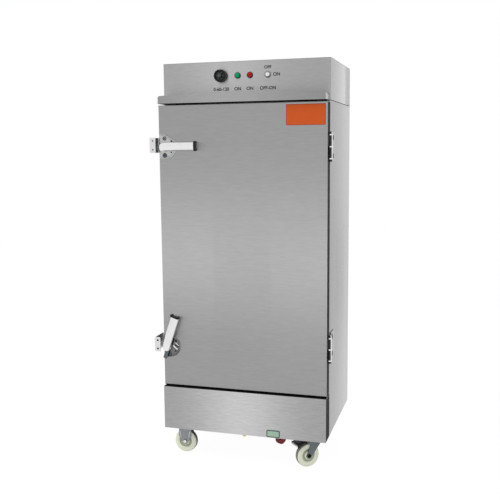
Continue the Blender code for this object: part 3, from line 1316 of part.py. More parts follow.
def swivel_fork():
    """Swivelling fork, its wheel trailing to -X: lower race, crown and two legs with pedal ears."""
    race_top = -FIT - CASTOR_PLATE - RACE_HEIGHT - RACE_GAP
    crown_top = race_top - RACE_HEIGHT
    crown_bottom = crown_top - CROWN_SHEET
    bore = KINGPIN_RADIUS + RUNNING_FIT
    race = turned([
        (bore, crown_top - CROWN_SHEET / 2), (RACE_RADIUS, crown_top - CROWN_SHEET / 2),
        (RACE_RADIUS, race_top - RACE_HEIGHT / 2), (RACE_RADIUS - SHEET, race_top), (bore, race_top),
    ], (0, 0, 0), "Z", COARSE)
    crown = box((-CROWN_FRONT, -FORK_OUTER, crown_bottom), (CROWN_FRONT, FORK_OUTER, crown_top))
    centre = (-SWIVEL_TRAIL, WHEEL_Z)
    tip = arc(centre, FORK_TIP_RADIUS, -math.pi * 0.9, -math.pi * 0.1, CORNER_STEPS * 2)
    pivot_z = -PEDAL_PIVOT_DROP
    outline = [
        (CROWN_FRONT, crown_bottom), (CROWN_FRONT, crown_top), (-CROWN_BACK, crown_top),
        (-CROWN_BACK, pivot_z - PEDAL_HUB_RADIUS), (-CROWN_FRONT, crown_bottom - FORK_TIP_RADIUS),
    ] + tip
    legs = []
    for side in (-1, 1):
        low, high = sorted((side * FORK_INNER, side * FORK_OUTER))
        legs.append(prism(outline, "Y", low, high))
    reach = FORK_OUTER + OVERRUN
    pivot = (-PEDAL_PIVOT_BACK, 0, pivot_z)
    pedal_holes = rod(PEDAL_PIN_RADIUS + RUNNING_FIT, -reach, reach, pivot, "Y", SMALL)
    kingpin = rod(bore, crown_bottom - OVERRUN, race_top + OVERRUN, (0, 0, 0), "Z")
    return without(joined(crown, race, *legs), kingpin, axle_holes(-SWIVEL_TRAIL), pedal_holes)


def wheel():
    """Castor wheel with dished sides and a hub, turned about Y."""
    half = WHEEL_WIDTH / 2
    web = half - WHEEL_DISH
    inner = WHEEL_RADIUS - WHEEL_RIM
    side = [
        (WHEEL_BORE, half), (WHEEL_HUB_RADIUS, half), (WHEEL_HUB_RADIUS + WHEEL_DISH / 2, web),
        (inner - WHEEL_DISH / 2, web), (inner, half), (WHEEL_RADIUS - WHEEL_TREAD_ROUND, half),
        (WHEEL_RADIUS, half - WHEEL_TREAD_ROUND),
    ]
    profile = side + [(radius, -along) for radius, along in reversed(side)]
    return turned(profile, (0, 0, 0), "Y", FINE)


def axle():
    reach = FORK_OUTER + FIT
    head = reach + AXLE_HEAD
    chamfer = AXLE_HEAD_RADIUS * 0.8
    return turned([
        (0, -head), (chamfer, -head), (AXLE_HEAD_RADIUS, -head + SHEET), (AXLE_HEAD_RADIUS, -reach),
        (AXLE_RADIUS, -reach), (AXLE_RADIUS, reach), (AXLE_HEAD_RADIUS, reach),
        (AXLE_HEAD_RADIUS, head - SHEET), (chamfer, head), (0, head),
    ], (0, 0, 0), "Y", SMALL)


def brake_pedal():
    """Brake pedal about its pivot, reaching back over the wheel, with its shoe below."""
    hub = rod(PEDAL_HUB_RADIUS, RUNNING_FIT - FORK_INNER, FORK_INNER - RUNNING_FIT, (0, 0, 0), "Y", SMALL)
    pin = rod(PEDAL_PIN_RADIUS, -FORK_OUTER, FORK_OUTER, (0, 0, 0), "Y", SMALL)
    reach = PEDAL_REACH - PEDAL_PIVOT_BACK
    half = PEDAL_SHEET / 2
    drop = PEDAL_SLOPE_DROP
    neck = box((-PEDAL_NECK - half, RUNNING_FIT - FORK_INNER, -half), (0, FORK_INNER - RUNNING_FIT, half))
    section = [
        (-PEDAL_NECK, half), (-PEDAL_NECK, -half),
        (-reach, -half - drop), (-reach - half, -PEDAL_LIP - drop),
        (-reach - PEDAL_SHEET, -PEDAL_LIP - drop), (-reach - PEDAL_SHEET, half - drop),
    ]
    outer = -reach - PEDAL_SHEET
    plan = filleted([
        (-PEDAL_NECK + OVERRUN, -PEDAL_WIDTH / 2, 0), (-PEDAL_NECK + OVERRUN, PEDAL_WIDTH / 2, 0),
        (outer, PEDAL_TIP_WIDTH / 2, PEDAL_TIP_CORNER), (outer, -PEDAL_TIP_WIDTH / 2, PEDAL_TIP_CORNER),
    ])
    taper = prism(plan, "Z", -PEDAL_LIP - drop - OVERRUN, half + OVERRUN)
    plate = combined(prism(section, "Y", -PEDAL_WIDTH / 2, PEDAL_WIDTH / 2), taper, "INTERSECT")
    shoe_half = WHEEL_WIDTH / 2 - WHEEL_TREAD_ROUND
    slope = drop * PEDAL_SHOE_BACK / reach
    shoe = box(
        (-PEDAL_SHOE_BACK - PEDAL_SHOE_LENGTH, -shoe_half, -slope - PEDAL_SHOE_DROP),
        (-PEDAL_SHOE_BACK, shoe_half, -slope),
    )
    return joined(hub, pin, neck, plate, shoe)


# Assembly
def build():
    clear_scene()
    steel = material("brushed_steel", (0.62, 0.62, 0.63), 0.35, 1.0)
    liner_steel = material("liner_steel", (0.60, 0.61, 0.62), 0.30, 1.0)
    cast_steel = material("cast_chrome", (0.75, 0.75, 0.76), 0.18, 1.0)
    zinc = material("zinc_plate", (0.40, 0.41, 0.42), 0.45, 1.0)
    brass = material("brass", (0.55, 0.40, 0.18), 0.35, 1.0)
    copper_sheath = material("heater_sheath", (0.35, 0.33, 0.32), 0.45, 1.0)
    foam = material("insulation_foam", (0.80, 0.72, 0.45), 0.90)
    silicone = material("gasket_silicone", (0.55, 0.56, 0.56), 0.60)
    black = material("black_plastic", (0.012, 0.012, 0.013), 0.38)
    green = material("green_lens", (0.02, 0.40, 0.15), 0.20)
    red = material("red_lens", (0.60, 0.02, 0.03), 0.20)
    wheel_red = material("handwheel_red", (0.22, 0.01, 0.015), 0.45)
    nylon = material("nylon", (0.72, 0.74, 0.62), 0.50)
    float_plastic = material("float_ball", (0.75, 0.76, 0.78), 0.40)

    cabinet = frame("cabinet_frame", (BODY_X, FRONT_Y, CASTOR_HEIGHT))
    part("outer_casing", outer_casing(), steel, cabinet)
    part("front_frame", front_frame(), steel, cabinet)
    part("inner_liner", inner_liner(), liner_steel, cabinet)
    part("wall_insulation", wall_insulation(), foam, cabinet)
    part("tray_rack_left", tray_rack(-1), liner_steel, cabinet)
    part("tray_rack_right", tray_rack(1), liner_steel, cabinet)
    part("steam_vent", steam_vent(), cast_steel, cabinet)
    part("control_housing", control_housing(), steel, cabinet)
    part("top_cover", top_cover(), steel, cabinet)
    part("visor", visor(), steel, cabinet)
    part("timer_body", timer_body(), black, cabinet)
    part("lamp_green", lamp(GREEN_LAMP_X), green, cabinet)
    part("lamp_red", lamp(RED_LAMP_X), red, cabinet)
    part("switch_body", switch_body(), cast_steel, cabinet)
    part("contactor", contactor(), black, cabinet)
    part("cable_gland", cable_gland(), black, cabinet)
    part("front_skirt", front_skirt(), steel, cabinet)
    part("base_frame", base_frame(), zinc, cabinet)
    part("water_tank", water_tank(), liner_steel, cabinet)
    part("heating_element", heating_element(), copper_sheath, cabinet)
    part("float_valve", float_valve(), brass, cabinet)
    part("overflow_pipe", overflow_pipe(), brass, cabinet)
    part("drain_valve", drain_valve(), brass, cabinet)

    float_axis = frame("float_axis", (FLOAT_X, FLOAT_PIVOT_Y, FLOAT_Z), cabinet)
    part("float_arm", float_arm(), float_plastic, float_axis)
    drain_axis = frame("drain_axis", (DRAIN_X, HANDWHEEL_Y, DRAIN_Z), cabinet)
    part("drain_handwheel", drain_handwheel(), wheel_red, drain_axis)
    timer_axis = frame("timer_axis", (TIMER_X, 0, PANEL_Z), cabinet)
    part("timer_knob", timer_knob(), black, timer_axis)
    switch_axis = frame("switch_axis", (SWITCH_X, 0, PANEL_Z), cabinet)
    part("switch_rotor", switch_rotor(), cast_steel, switch_axis)

    hinge = (HINGE_X, -HINGE_AXIS_FORWARD, 0)
    part("door_skin", door_skin(), steel, cabinet, hinge)
    part("door_inner_panel", door_inner_panel(), liner_steel, cabinet, hinge)
    part("door_insulation", door_insulation(), foam, cabinet, hinge)
    part("door_gasket", door_gasket(), silicone, cabinet, hinge)
    for level, hinge_z, latch_z, open_angle in (
        ("upper", HINGE_UPPER_Z, LATCH_UPPER_Z, 0),
        ("lower", HINGE_LOWER_Z, LATCH_LOWER_Z, LATCH_LOWER_OPEN),
    ):
        part(f"{level}_hinge_body_leaf", hinge_body_leaf(hinge_z), cast_steel, cabinet)
        part(f"{level}_hinge_door_leaf", hinge_door_leaf(hinge_z), cast_steel, cabinet, hinge)
        part(f"{level}_latch_base", latch_base(latch_z), cast_steel, cabinet, hinge)
        part(f"{level}_keeper", keeper(latch_z), cast_steel, cabinet)
        pivot = frame(f"{level}_latch_pivot", (LATCH_X, 0, latch_z), cabinet, (0, -open_angle, 0))
        part(f"{level}_latch_lever", latch_lever(), cast_steel, pivot)
        part(f"{level}_latch_cap", latch_cap(), black, pivot)

    for row, y, turn in (
        ("front", CASTOR_FRONT_Y, SWIVEL_TURN_FRONT),
        ("rear", CASTOR_BACK_Y, SWIVEL_TURN_BACK),
    ):
        rigid = frame(f"castor_{row}_left", (-CASTOR_X, y, 0), cabinet)
        part(f"castor_{row}_left_fork", rigid_fork(), zinc, rigid)
        part(f"castor_{row}_left_axle", axle(), zinc, frame(f"axle_{row}_left", (0, 0, WHEEL_Z), rigid))
        part(f"castor_{row}_left_wheel", wheel(), nylon, frame(f"hub_{row}_left", (0, 0, WHEEL_Z), rigid))
        fixed = frame(f"castor_{row}_right", (CASTOR_X, y, 0), cabinet)
        part(f"castor_{row}_right_plate", swivel_plate(), zinc, fixed)
        swivel = frame(f"castor_{row}_right_swivel", (0, 0, 0), fixed, (0, 0, turn))
        part(f"castor_{row}_right_fork", swivel_fork(), zinc, swivel)
        at = (-SWIVEL_TRAIL, 0, WHEEL_Z)
        part(f"castor_{row}_right_axle", axle(), zinc, frame(f"axle_{row}_right", at, swivel))
        part(f"castor_{row}_right_wheel", wheel(), nylon, frame(f"hub_{row}_right", at, swivel))
        at = (-PEDAL_PIVOT_BACK, 0, -PEDAL_PIVOT_DROP)
        part(f"castor_{row}_right_pedal", brake_pedal(), black, frame(f"pedal_{row}_right", at, swivel))


build()
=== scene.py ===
"""Looks, lights and camera of the rice steamer cabinet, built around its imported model."""
import json
import math

import bmesh
import bpy
from mathutils import Matrix, Vector

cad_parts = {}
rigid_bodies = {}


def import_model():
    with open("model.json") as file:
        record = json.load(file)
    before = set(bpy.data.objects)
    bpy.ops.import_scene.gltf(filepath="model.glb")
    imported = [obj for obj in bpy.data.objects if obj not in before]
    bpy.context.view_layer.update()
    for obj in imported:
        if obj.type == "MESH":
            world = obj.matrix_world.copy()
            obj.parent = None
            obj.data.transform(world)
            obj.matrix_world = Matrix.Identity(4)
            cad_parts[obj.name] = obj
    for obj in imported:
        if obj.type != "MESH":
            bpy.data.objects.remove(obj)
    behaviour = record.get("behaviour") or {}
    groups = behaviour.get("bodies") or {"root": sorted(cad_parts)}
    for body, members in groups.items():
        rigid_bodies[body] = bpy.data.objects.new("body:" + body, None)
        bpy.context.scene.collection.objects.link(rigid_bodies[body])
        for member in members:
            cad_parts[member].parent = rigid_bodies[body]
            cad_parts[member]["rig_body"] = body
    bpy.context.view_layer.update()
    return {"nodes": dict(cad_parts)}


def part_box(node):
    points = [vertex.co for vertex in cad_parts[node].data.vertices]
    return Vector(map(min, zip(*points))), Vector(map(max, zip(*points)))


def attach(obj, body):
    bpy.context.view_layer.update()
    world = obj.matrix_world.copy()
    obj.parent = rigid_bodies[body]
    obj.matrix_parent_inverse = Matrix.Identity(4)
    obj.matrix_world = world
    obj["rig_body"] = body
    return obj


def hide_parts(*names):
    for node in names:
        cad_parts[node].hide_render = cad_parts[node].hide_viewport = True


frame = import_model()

nodes = frame["nodes"]
scene = bpy.context.scene

# The cabinet frame: X from the body's middle, Y back from its front plane, Z up from its bottom edge
casing_low, casing_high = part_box("outer_casing")
ORIGIN = Vector(((casing_low.x + casing_high.x) / 2, casing_low.y, casing_low.z))
HALF_WIDTH = (casing_high.x - casing_low.x) / 2
BODY_DEPTH = casing_high.y - casing_low.y
FIT = 0.0003
DOOR_FRONT = -0.0624
DOOR_BOTTOM = 0.1887
DOOR_TOP = 1.3601
SKIRT_FRONT = -0.0767
SKIRT_TOP = 0.1826
BODY_HEIGHT = 1.369
VISOR_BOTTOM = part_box("visor")[0].z - ORIGIN.z
PANEL_Z = 1.4745
DIAL_X = -0.0985
LAMPS = {"green": -0.0285, "red": 0.0230}
SWITCH_X = 0.0970
HINGE_X = HALF_WIDTH + 0.0092
HINGE_Y = -0.047
HINGE_LEVELS = {"upper": 1.187, "lower": 0.3815}
LATCH_X = -0.326
LATCH_LEVELS = {"upper": (1.187, 0.0), "lower": (0.3525, math.radians(71))}
LATCH_SEAT = DOOR_FRONT - FIT


# Shapes
def arc(centre, radius, start, end, steps):
    """Points on a circular arc, both ends included."""
    points = []
    for i in range(steps + 1):
        angle = start + (end - start) * i / steps
        points.append((centre[0] + radius * math.cos(angle), centre[1] + radius * math.sin(angle)))
    return points


def filleted(corners, steps=5):
    """Closed outline through (x, y, radius) corners, each rounded by its radius."""
    points = []
    count = len(corners)
    for i, (x, y, radius) in enumerate(corners):
        here = Vector((x, y))
        if radius <= 0:
            points.append((x, y))
            continue
        before = (Vector(corners[i - 1][:2]) - here).normalized()
        after = (Vector(corners[(i + 1) % count][:2]) - here).normalized()
        half = before.angle(after) / 2
        centre = here + (before + after).normalized() * (radius / math.sin(half))
        first = here + before * (radius / math.tan(half)) - centre
        last = here + after * (radius / math.tan(half)) - centre
        turn = math.atan2(first.x * last.y - first.y * last.x, first.dot(last))
        angle = math.atan2(first.y, first.x)
        points += arc(centre, radius, angle, angle + turn, steps)
    return points


def inset(points, depth):
    """Outline drawn in by a depth, point by point."""
    area = sum(a[0] * b[1] - b[0] * a[1] for a, b in zip(points, points[1:] + points[:1]))
    depth = math.copysign(depth, area)
    drawn = []
    for i, (x, y) in enumerate(points):
        along = (Vector(points[(i + 1) % len(points)]) - Vector(points[i - 1])).normalized()
        drawn.append((x - along.y * depth, y + along.x * depth))
    return drawn


def rectangle(low, high, radius=0.0):
    """Closed outline between two opposite corners, each corner rounded by the radius."""
    corners = [(low[0], low[1]), (high[0], low[1]), (high[0], high[1]), (low[0], high[1])]
    return filleted([(x, y, radius) for x, y in corners])


AXES = {
    "X": Matrix(((0, 0, 1), (1, 0, 0), (0, 1, 0))).to_4x4(),
    "Y": Matrix(((1, 0, 0), (0, 0, 1), (0, 1, 0))).to_4x4(),
    "Z": Matrix.Identity(4),
}


class Shape:
    """A mesh put together from prisms, turned pieces and tubes, each with its own material."""

    def __init__(self):
        self.bm = bmesh.new()

    def keep(self, faces, look):
        for face in faces:
            face.material_index = look
            face.smooth = True
        return self

    def prism(self, outline, axis, start, end, place=Matrix.Identity(4), look=0):
        """Outline carried along an axis: (y, z) points along X, (x, z) along Y, (x, y) along Z."""
        turn = place @ AXES[axis]
        rings = [[self.bm.verts.new(turn @ Vector((a, b, c))) for a, b in outline] for c in (start, end)]
        count = len(outline)
        faces = [self.bm.faces.new(rings[0]), self.bm.faces.new(rings[1])]
        for i in range(count):
            j = (i + 1) % count
            faces.append(self.bm.faces.new((rings[0][i], rings[0][j], rings[1][j], rings[1][i])))
        return self.keep(faces, look)

    def turned(self, profile, axis="Z", place=Matrix.Identity(4), look=0, segments=48, lobe=None):
        """Closed (radius, along) profile turned about an axis. lobe(angle, radius) may shape the radius."""
        turn = place @ AXES[axis]
        rings = []
        for radius, along in profile:
            ring = []
            for i in range(segments if radius > 1e-6 else 1):
                angle = 2 * math.pi * i / segments
                r = lobe(angle, radius) if lobe else radius
                point = Vector((r * math.cos(angle), r * math.sin(angle), along))
                ring.append(self.bm.verts.new(turn @ point))
            rings.append(ring)
        faces = []
        for k in range(len(rings)):
            one, two = rings[k - 1], rings[k]
            if len(one) == 1 and len(two) == 1:
                continue
            for i in range(segments):
                j = (i + 1) % segments
                corners = [one[i % len(one)], one[j % len(one)], two[j % len(two)], two[i % len(two)]]
                faces.append(self.bm.faces.new(list(dict.fromkeys(corners))))
        return self.keep(faces, look)

    def loft(self, sections, look=0):
        """Closed skin through rings of equally many points, its ends closed."""
        rings = [[self.bm.verts.new(p) for p in section] for section in sections]
        faces = [self.bm.faces.new(rings[0]), self.bm.faces.new(rings[-1])]
        count = len(rings[0])
        for one, two in zip(rings, rings[1:]):
            for i in range(count):
                j = (i + 1) % count
                faces.append(self.bm.faces.new((one[i], one[j], two[j], two[i])))
        return self.keep(faces, look)

    def piece(self, name, looks, body, replaces=(), bevel=0.0, place=None):
        """The finished object, riding on its body."""
        if place is not None:
            self.bm.transform(place)
        bmesh.ops.recalc_face_normals(self.bm, faces=self.bm.faces)
        mesh = bpy.data.meshes.new(name)
        self.bm.to_mesh(mesh)
        self.bm.free()
        for look in looks if isinstance(looks, (list, tuple)) else [looks]:
            mesh.materials.append(look)
        return finished(name, mesh, body, replaces, bevel)


def finished(name, mesh, body, replaces=(), bevel=0.0, angle=35):
    """A mesh as an object, its edges sharper than the angle rounded by the bevel, on its body."""
    made = bpy.data.objects.new(name, mesh)
    scene.collection.objects.link(made)
    mesh.shade_smooth()
    mesh.set_sharp_from_angle(angle=math.radians(angle))
    if bevel:
        step = made.modifiers.new("edges", "BEVEL")
        step.width = bevel
        step.segments = 2
        step.limit_method = "ANGLE"
        step.angle_limit = math.radians(angle)
        step.harden_normals = True
    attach(made, body)
    if replaces:
        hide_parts(*replaces)
    return made


def at(x, y, z):
    """A place in the cabinet frame."""
    return Matrix.Translation(ORIGIN + Vector((x, y, z)))


def body_of(node):
    return nodes[node]["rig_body"]


def refined(node, look, bevel):
    """The CAD solid again with its triangles joined into whole faces and its edges rounded."""
    bm = bmesh.new()
    bm.from_mesh(nodes[node].data)
    bmesh.ops.remove_doubles(bm, verts=bm.verts, dist=1e-6)
    bmesh.ops.dissolve_limit(bm, angle_limit=math.radians(0.5), verts=bm.verts, edges=bm.edges)
    for face in bm.faces:
        face.material_index = 0
    mesh = bpy.data.meshes.new(f"{node}_sheet")
    bm.to_mesh(mesh)
    bm.free()
    mesh.materials.append(look)
    return finished(f"{node}_sheet", mesh, body_of(node), [node], bevel, 30)


# Materials
class Look:
    """A material's node tree, built up in short steps."""

    def __init__(self, name):
        self.material = bpy.data.materials.new(name)
        self.material.use_nodes = True
        self.tree = self.material.node_tree
        self.shader = self.tree.nodes["Principled BSDF"]
        self.where = self.tree.nodes.new("ShaderNodeTexCoord").outputs["Object"]

    def set(self, **values):
        for key, value in values.items():
            self.shader.inputs[key.replace("_", " ")].default_value = value
        return self

    def noise(self, scale, detail=3.0, rough=0.5):
        """Noise with one scale for each axis, in waves a metre. Its output runs from 0 to 1."""
        mapping = self.tree.nodes.new("ShaderNodeMapping")
        mapping.inputs["Scale"].default_value = scale
        self.tree.links.new(self.where, mapping.inputs["Vector"])
        noise = self.tree.nodes.new("ShaderNodeTexNoise")
        noise.inputs["Scale"].default_value = 1.0
        noise.inputs["Detail"].default_value = detail
        noise.inputs["Roughness"].default_value = rough
        self.tree.links.new(mapping.outputs["Vector"], noise.inputs["Vector"])
        return noise.outputs["Fac"]

    def span(self, value, low, high, start=0.25, end=0.75):
        """A value taken from start..end to low..high, and held beyond them."""
        made = self.tree.nodes.new("ShaderNodeMapRange")
        for key, number in (("From Min", start), ("From Max", end), ("To Min", low), ("To Max", high)):
            made.inputs[key].default_value = number
        self.tree.links.new(value, made.inputs["Value"])
        return made.outputs["Result"]

    def math(self, operation, one, two=0.0):
        made = self.tree.nodes.new("ShaderNodeMath")
        made.operation = operation
        for socket, value in zip(made.inputs, (one, two)):
            if isinstance(value, (int, float)):
                socket.default_value = value
            else:
                self.tree.links.new(value, socket)
        return made.outputs["Value"]

    def mix(self, factor, one, two, blend="MIX"):
        made = self.tree.nodes.new("ShaderNodeMix")
        made.data_type = "RGBA"
        made.blend_type = blend
        for name, value in (("Factor", factor), ("A", one), ("B", two)):
            target = made.inputs[name]
            if name != "Factor":
                target = [s for s in made.inputs if s.name == name and s.type == "RGBA"][0]
            if isinstance(value, (int, float)):
                target.default_value = value
            elif isinstance(value, tuple):
                target.default_value = (*value, 1)
            else:
                self.tree.links.new(value, target)
        return [s for s in made.outputs if s.type == "RGBA"][0]

    def axis(self, index):
        made = self.tree.nodes.new("ShaderNodeSeparateXYZ")
        self.tree.links.new(self.where, made.inputs["Vector"])
        return made.outputs[index]

    def link(self, value, socket):
        self.tree.links.new(value, self.shader.inputs[socket])
        return self

    def bump(self, height, strength, distance):
        made = self.tree.nodes.new("ShaderNodeBump")
        made.inputs["Strength"].default_value = strength
        made.inputs["Distance"].default_value = distance
        self.tree.links.new(height, made.inputs["Height"])
        self.tree.links.new(made.outputs["Normal"], self.shader.inputs["Normal"])
        return self

    def tangent(self, axis):
        made = self.tree.nodes.new("ShaderNodeTangent")
        made.direction_type = "RADIAL"
        made.axis = axis
        self.tree.links.new(made.outputs["Tangent"], self.shader.inputs["Tangent"])
        return self


# Waves a metre along X, Y and Z of the brush marks, by the way they run
GRAINS = {"level": (24.0, 24.0, 230.0), "top": (24.0, 230.0, 24.0)}


def brushed(name, colour, roughness=0.3, spread=0.0, grain="level", tangent="Z", mark=0.045,
            rear=1.0, band=None):
    """Brushed stainless sheet. spread turns the direction in which its reflections spread out,
    and mark is how far the brush marks vary its colour. rear paints light into the colour,
    brighter towards the back, and band (axis, middle, width, rise) paints a soft bright bell
    across one axis. Both are painted light: painted reflection gradients, in place of the soft
    gradients that an even white room doesn't give."""
    look = Look(name)
    look.set(Metallic=1.0, Anisotropic=1.0, Anisotropic_Rotation=spread)
    look.tangent(tangent)
    broad = look.noise(GRAINS[grain], 1.0, 0.5)
    fine = look.noise(tuple(v * 5.0 for v in GRAINS[grain]), 2.0, 0.6)
    cloud = look.noise((5.0, 5.0, 4.0), 3.0, 0.55)
    marks = look.math("ADD", look.math("MULTIPLY", fine, 0.25), look.math("MULTIPLY", broad, 0.75))
    dark = tuple(c * (1 - mark) for c in colour)
    light = tuple(c * (1 + mark) for c in colour)
    tone = look.mix(look.span(marks, 0, 1, 0.3, 0.7), dark, light)
    shade = look.span(cloud, 0.985, 1.0)
    # Painted light: brighter towards the back
    if rear != 1.0:
        depth = look.span(look.axis(1), 1.0, rear, ORIGIN.y, ORIGIN.y + BODY_DEPTH)
        shade = look.math("MULTIPLY", shade, depth)
    # Painted reflection: a soft bright bell across one axis
    if band:
        axis, middle, width, rise = band
        off = look.math("DIVIDE", look.math("SUBTRACT", look.axis(axis), middle), width)
        bell = look.math("EXPONENT", look.math("MULTIPLY", look.math("MULTIPLY", off, off), -1.0))
        shade = look.math("MULTIPLY", shade, look.math("ADD", look.math("MULTIPLY", bell, rise), 1.0))
    grey = look.tree.nodes.new("ShaderNodeCombineColor")
    for socket in grey.inputs:
        look.tree.links.new(shade, socket)
    look.link(look.mix(1.0, tone, grey.outputs["Color"], "MULTIPLY"), "Base Color")
    worn = look.math("ADD", look.span(fine, roughness - 0.008, roughness + 0.008, 0.3, 0.7),
                     look.span(cloud, -0.008, 0.012))
    look.link(worn, "Roughness")
    look.bump(fine, 0.01, 0.0001)
    return look.material


def cast(name, colour, roughness, metallic=1.0, mottle=0.06, bump=0.05, grit=500.0, **values):
    """Cast, plated or moulded surface: fine grit, faint mottling and a little wear."""
    look = Look(name)
    look.set(Metallic=metallic, **values)
    grain = look.noise((grit,) * 3, 3.0, 0.6)
    cloud = look.noise((grit * 0.09,) * 3, 4.0, 0.6)
    both = look.math("ADD", look.math("MULTIPLY", grain, 0.45), look.math("MULTIPLY", cloud, 0.55))
    low = tuple(c * (1 - mottle) for c in colour)
    high = tuple(min(1.0, c * (1 + mottle)) for c in colour)
    look.link(look.mix(look.span(both, 0, 1, 0.32, 0.68), low, high), "Base Color")
    look.link(look.span(both, roughness * 0.85, min(1.0, roughness * 1.2), 0.3, 0.7), "Roughness")
    look.bump(grain, bump, 0.0002)
    return look.material


# Painted light: the front, side and top sheets are one stainless sheet at different brightness, darker on the
# visor and paler on the sides and top, and their bands and the side's rear brightening are painted
# reflections
door_steel = brushed("door_steel", (0.365, 0.365, 0.368), 0.35, 0.0,
                     band=(2, ORIGIN.z + 0.745, 0.275, 0.55))
panel_steel = brushed("panel_steel", (0.38, 0.38, 0.384), 0.26, 0.25,
                      band=(0, ORIGIN.x - 0.06, 0.19, 0.32))
visor_steel = brushed("visor_steel", (0.28, 0.28, 0.284), 0.26, 0.25,
                      band=(0, ORIGIN.x - 0.06, 0.28, 0.41))
sheet_steel = brushed("sheet_steel", (0.36, 0.36, 0.364), 0.26, 0.25, mark=0.07,
                      band=(0, ORIGIN.x - 0.009, 0.19, 0.62))
side_steel = brushed("side_steel", (0.44, 0.44, 0.444), 0.28, 0.0, rear=1.25)
top_steel = brushed("top_steel", (0.44, 0.44, 0.444), 0.32, 0.0, "top", "X")
liner_steel = brushed("liner_steel", (0.58, 0.585, 0.59), 0.28, 0.25, mark=0.04)
bright_cast = cast("bright_cast", (0.72, 0.72, 0.73), 0.22, bump=0.08)
plate_cast = cast("plate_cast", (0.50, 0.50, 0.505), 0.25, bump=0.08)
# A darker copy of the cast plate: painted shade on the lower latch plate
plate_painted_shade = cast("plate_painted_shade", (0.17, 0.172, 0.175), 0.22, bump=0.08)
polished = cast("polished_plate", (0.78, 0.78, 0.79), 0.12, bump=0.02)
zinc = cast("zinc_plate", (0.26, 0.27, 0.285), 0.42, mottle=0.12, grit=260.0)
# A darker copy of the zinc plate: painted shade on the right castors, the hinge flaps, the latch tongues and
# all but one latch screw; it also colours the hinge screws and the castor nuts
dark_zinc_and_painted_shade = cast("dark_zinc_and_painted_shade", (0.135, 0.15, 0.16), 0.42, mottle=0.14, grit=260.0)
brass = cast("brass", (0.62, 0.47, 0.22), 0.34, mottle=0.1)
sheath = cast("heater_sheath", (0.34, 0.32, 0.31), 0.42, mottle=0.15)
foam = cast("insulation_foam", (0.74, 0.66, 0.42), 0.92, 0.0, mottle=0.1, bump=0.4, grit=700.0)
silicone = cast("gasket_silicone", (0.50, 0.51, 0.51), 0.6, 0.0, mottle=0.05, bump=0.1)
# Near black: painted shade on the sides of the door and skirt; it also makes the strip in the top seam
rubber_and_shade = cast("edge_rubber_and_painted_shade", (0.021, 0.022, 0.023), 0.7, 0.0, mottle=0.15, bump=0.1,
              Specular_IOR_Level=0.1)
black = cast("black_plastic", (0.005, 0.005, 0.0055), 0.32, 0.0, mottle=0.2, bump=0.04,
             Specular_IOR_Level=0.28)
# Painted reflection: near black along the front of the hinge barrels
knuckle_painted_reflection = cast("knuckle_painted_reflection", (0.035, 0.036, 0.038), 0.18, bump=0.02)
# Grey of the hinge leaves and switch bezel; also the painted grey reflection on the door side of the hinge
# barrels
leaf_cast_and_painted_reflection = cast("leaf_cast_and_painted_reflection", (0.34, 0.34, 0.345), 0.28, bump=0.06)
# Painted shade: near black for holes, screw recesses, gaps and the right castors' bolt heads
painted_shade_black = cast("painted_shade_black", (0.006, 0.006, 0.006), 0.9, 0.0, mottle=0.2, Specular_IOR_Level=0.05)
knob_grey = cast("knob_grey", (0.05, 0.055, 0.06), 0.35, 0.0, mottle=0.06)
nylon = cast("nylon", (0.89, 0.92, 0.76), 0.42, 0.0, mottle=0.008, bump=0.01)
# Painted shade: a darker olive copy of the nylon in the web groove of the wheels; it also makes the rings
# round the axle
nylon_shade = cast("nylon_hub_and_groove_shade", (0.42, 0.46, 0.33), 0.45, 0.0, mottle=0.06)
# Painted shade on the wheel treads: olive on the right castors, near black on the left
tread_olive_shade = cast("tread_olive_shade", (0.24, 0.27, 0.19), 0.6, 0.0, mottle=0.1, bump=0.1)
tread_near_black_shade = cast("tread_near_black_shade", (0.045, 0.055, 0.042), 0.6, 0.0, mottle=0.15, bump=0.2)
float_ball = cast("float_plastic", (0.72, 0.73, 0.75), 0.42, 0.0, mottle=0.04)
wheel_red = cast("handwheel_red", (0.22, 0.008, 0.014), 0.42, 0.0, mottle=0.12)
orange = cast("label_orange", (0.60, 0.095, 0.016), 0.6, 0.0, mottle=0.04, bump=0.03,
              Specular_IOR_Level=0.2)
orange_dark = cast("label_orange_edge", (0.36, 0.040, 0.010), 0.6, 0.0, mottle=0.05,
                   Specular_IOR_Level=0.2)
print_white = cast("print_white", (0.70, 0.70, 0.69), 0.5, 0.0, mottle=0.04)
print_dark = cast("print_dark", (0.012, 0.012, 0.013), 0.6, 0.0, mottle=0.1, Specular_IOR_Level=0.1)
tag_green = cast("tag_green", (0.36, 0.52, 0.41), 0.5, 0.0, mottle=0.04)
tag_dark = cast("tag_border", (0.04, 0.085, 0.062), 0.5, 0.0, mottle=0.08)


def lens(name, colour):
    """Tinted lamp lens with a fine uneven grain."""
    look = Look(name)
    look.set(IOR=1.49, Specular_IOR_Level=0.25)
    grain = look.noise((900.0, 900.0, 900.0), 1.0)
    dark = tuple(c * 0.6 for c in colour)
    look.link(look.mix(look.span(grain, 0, 1), dark, colour), "Base Color")
    look.link(look.span(grain, 0.10, 0.22), "Roughness")
    look.bump(grain, 0.1, 0.0004)
    return look.material


green_lens = lens("green_lens", (0.0, 0.34, 0.15))
red_lens = lens("red_lens", (0.48, 0.0, 0.004))

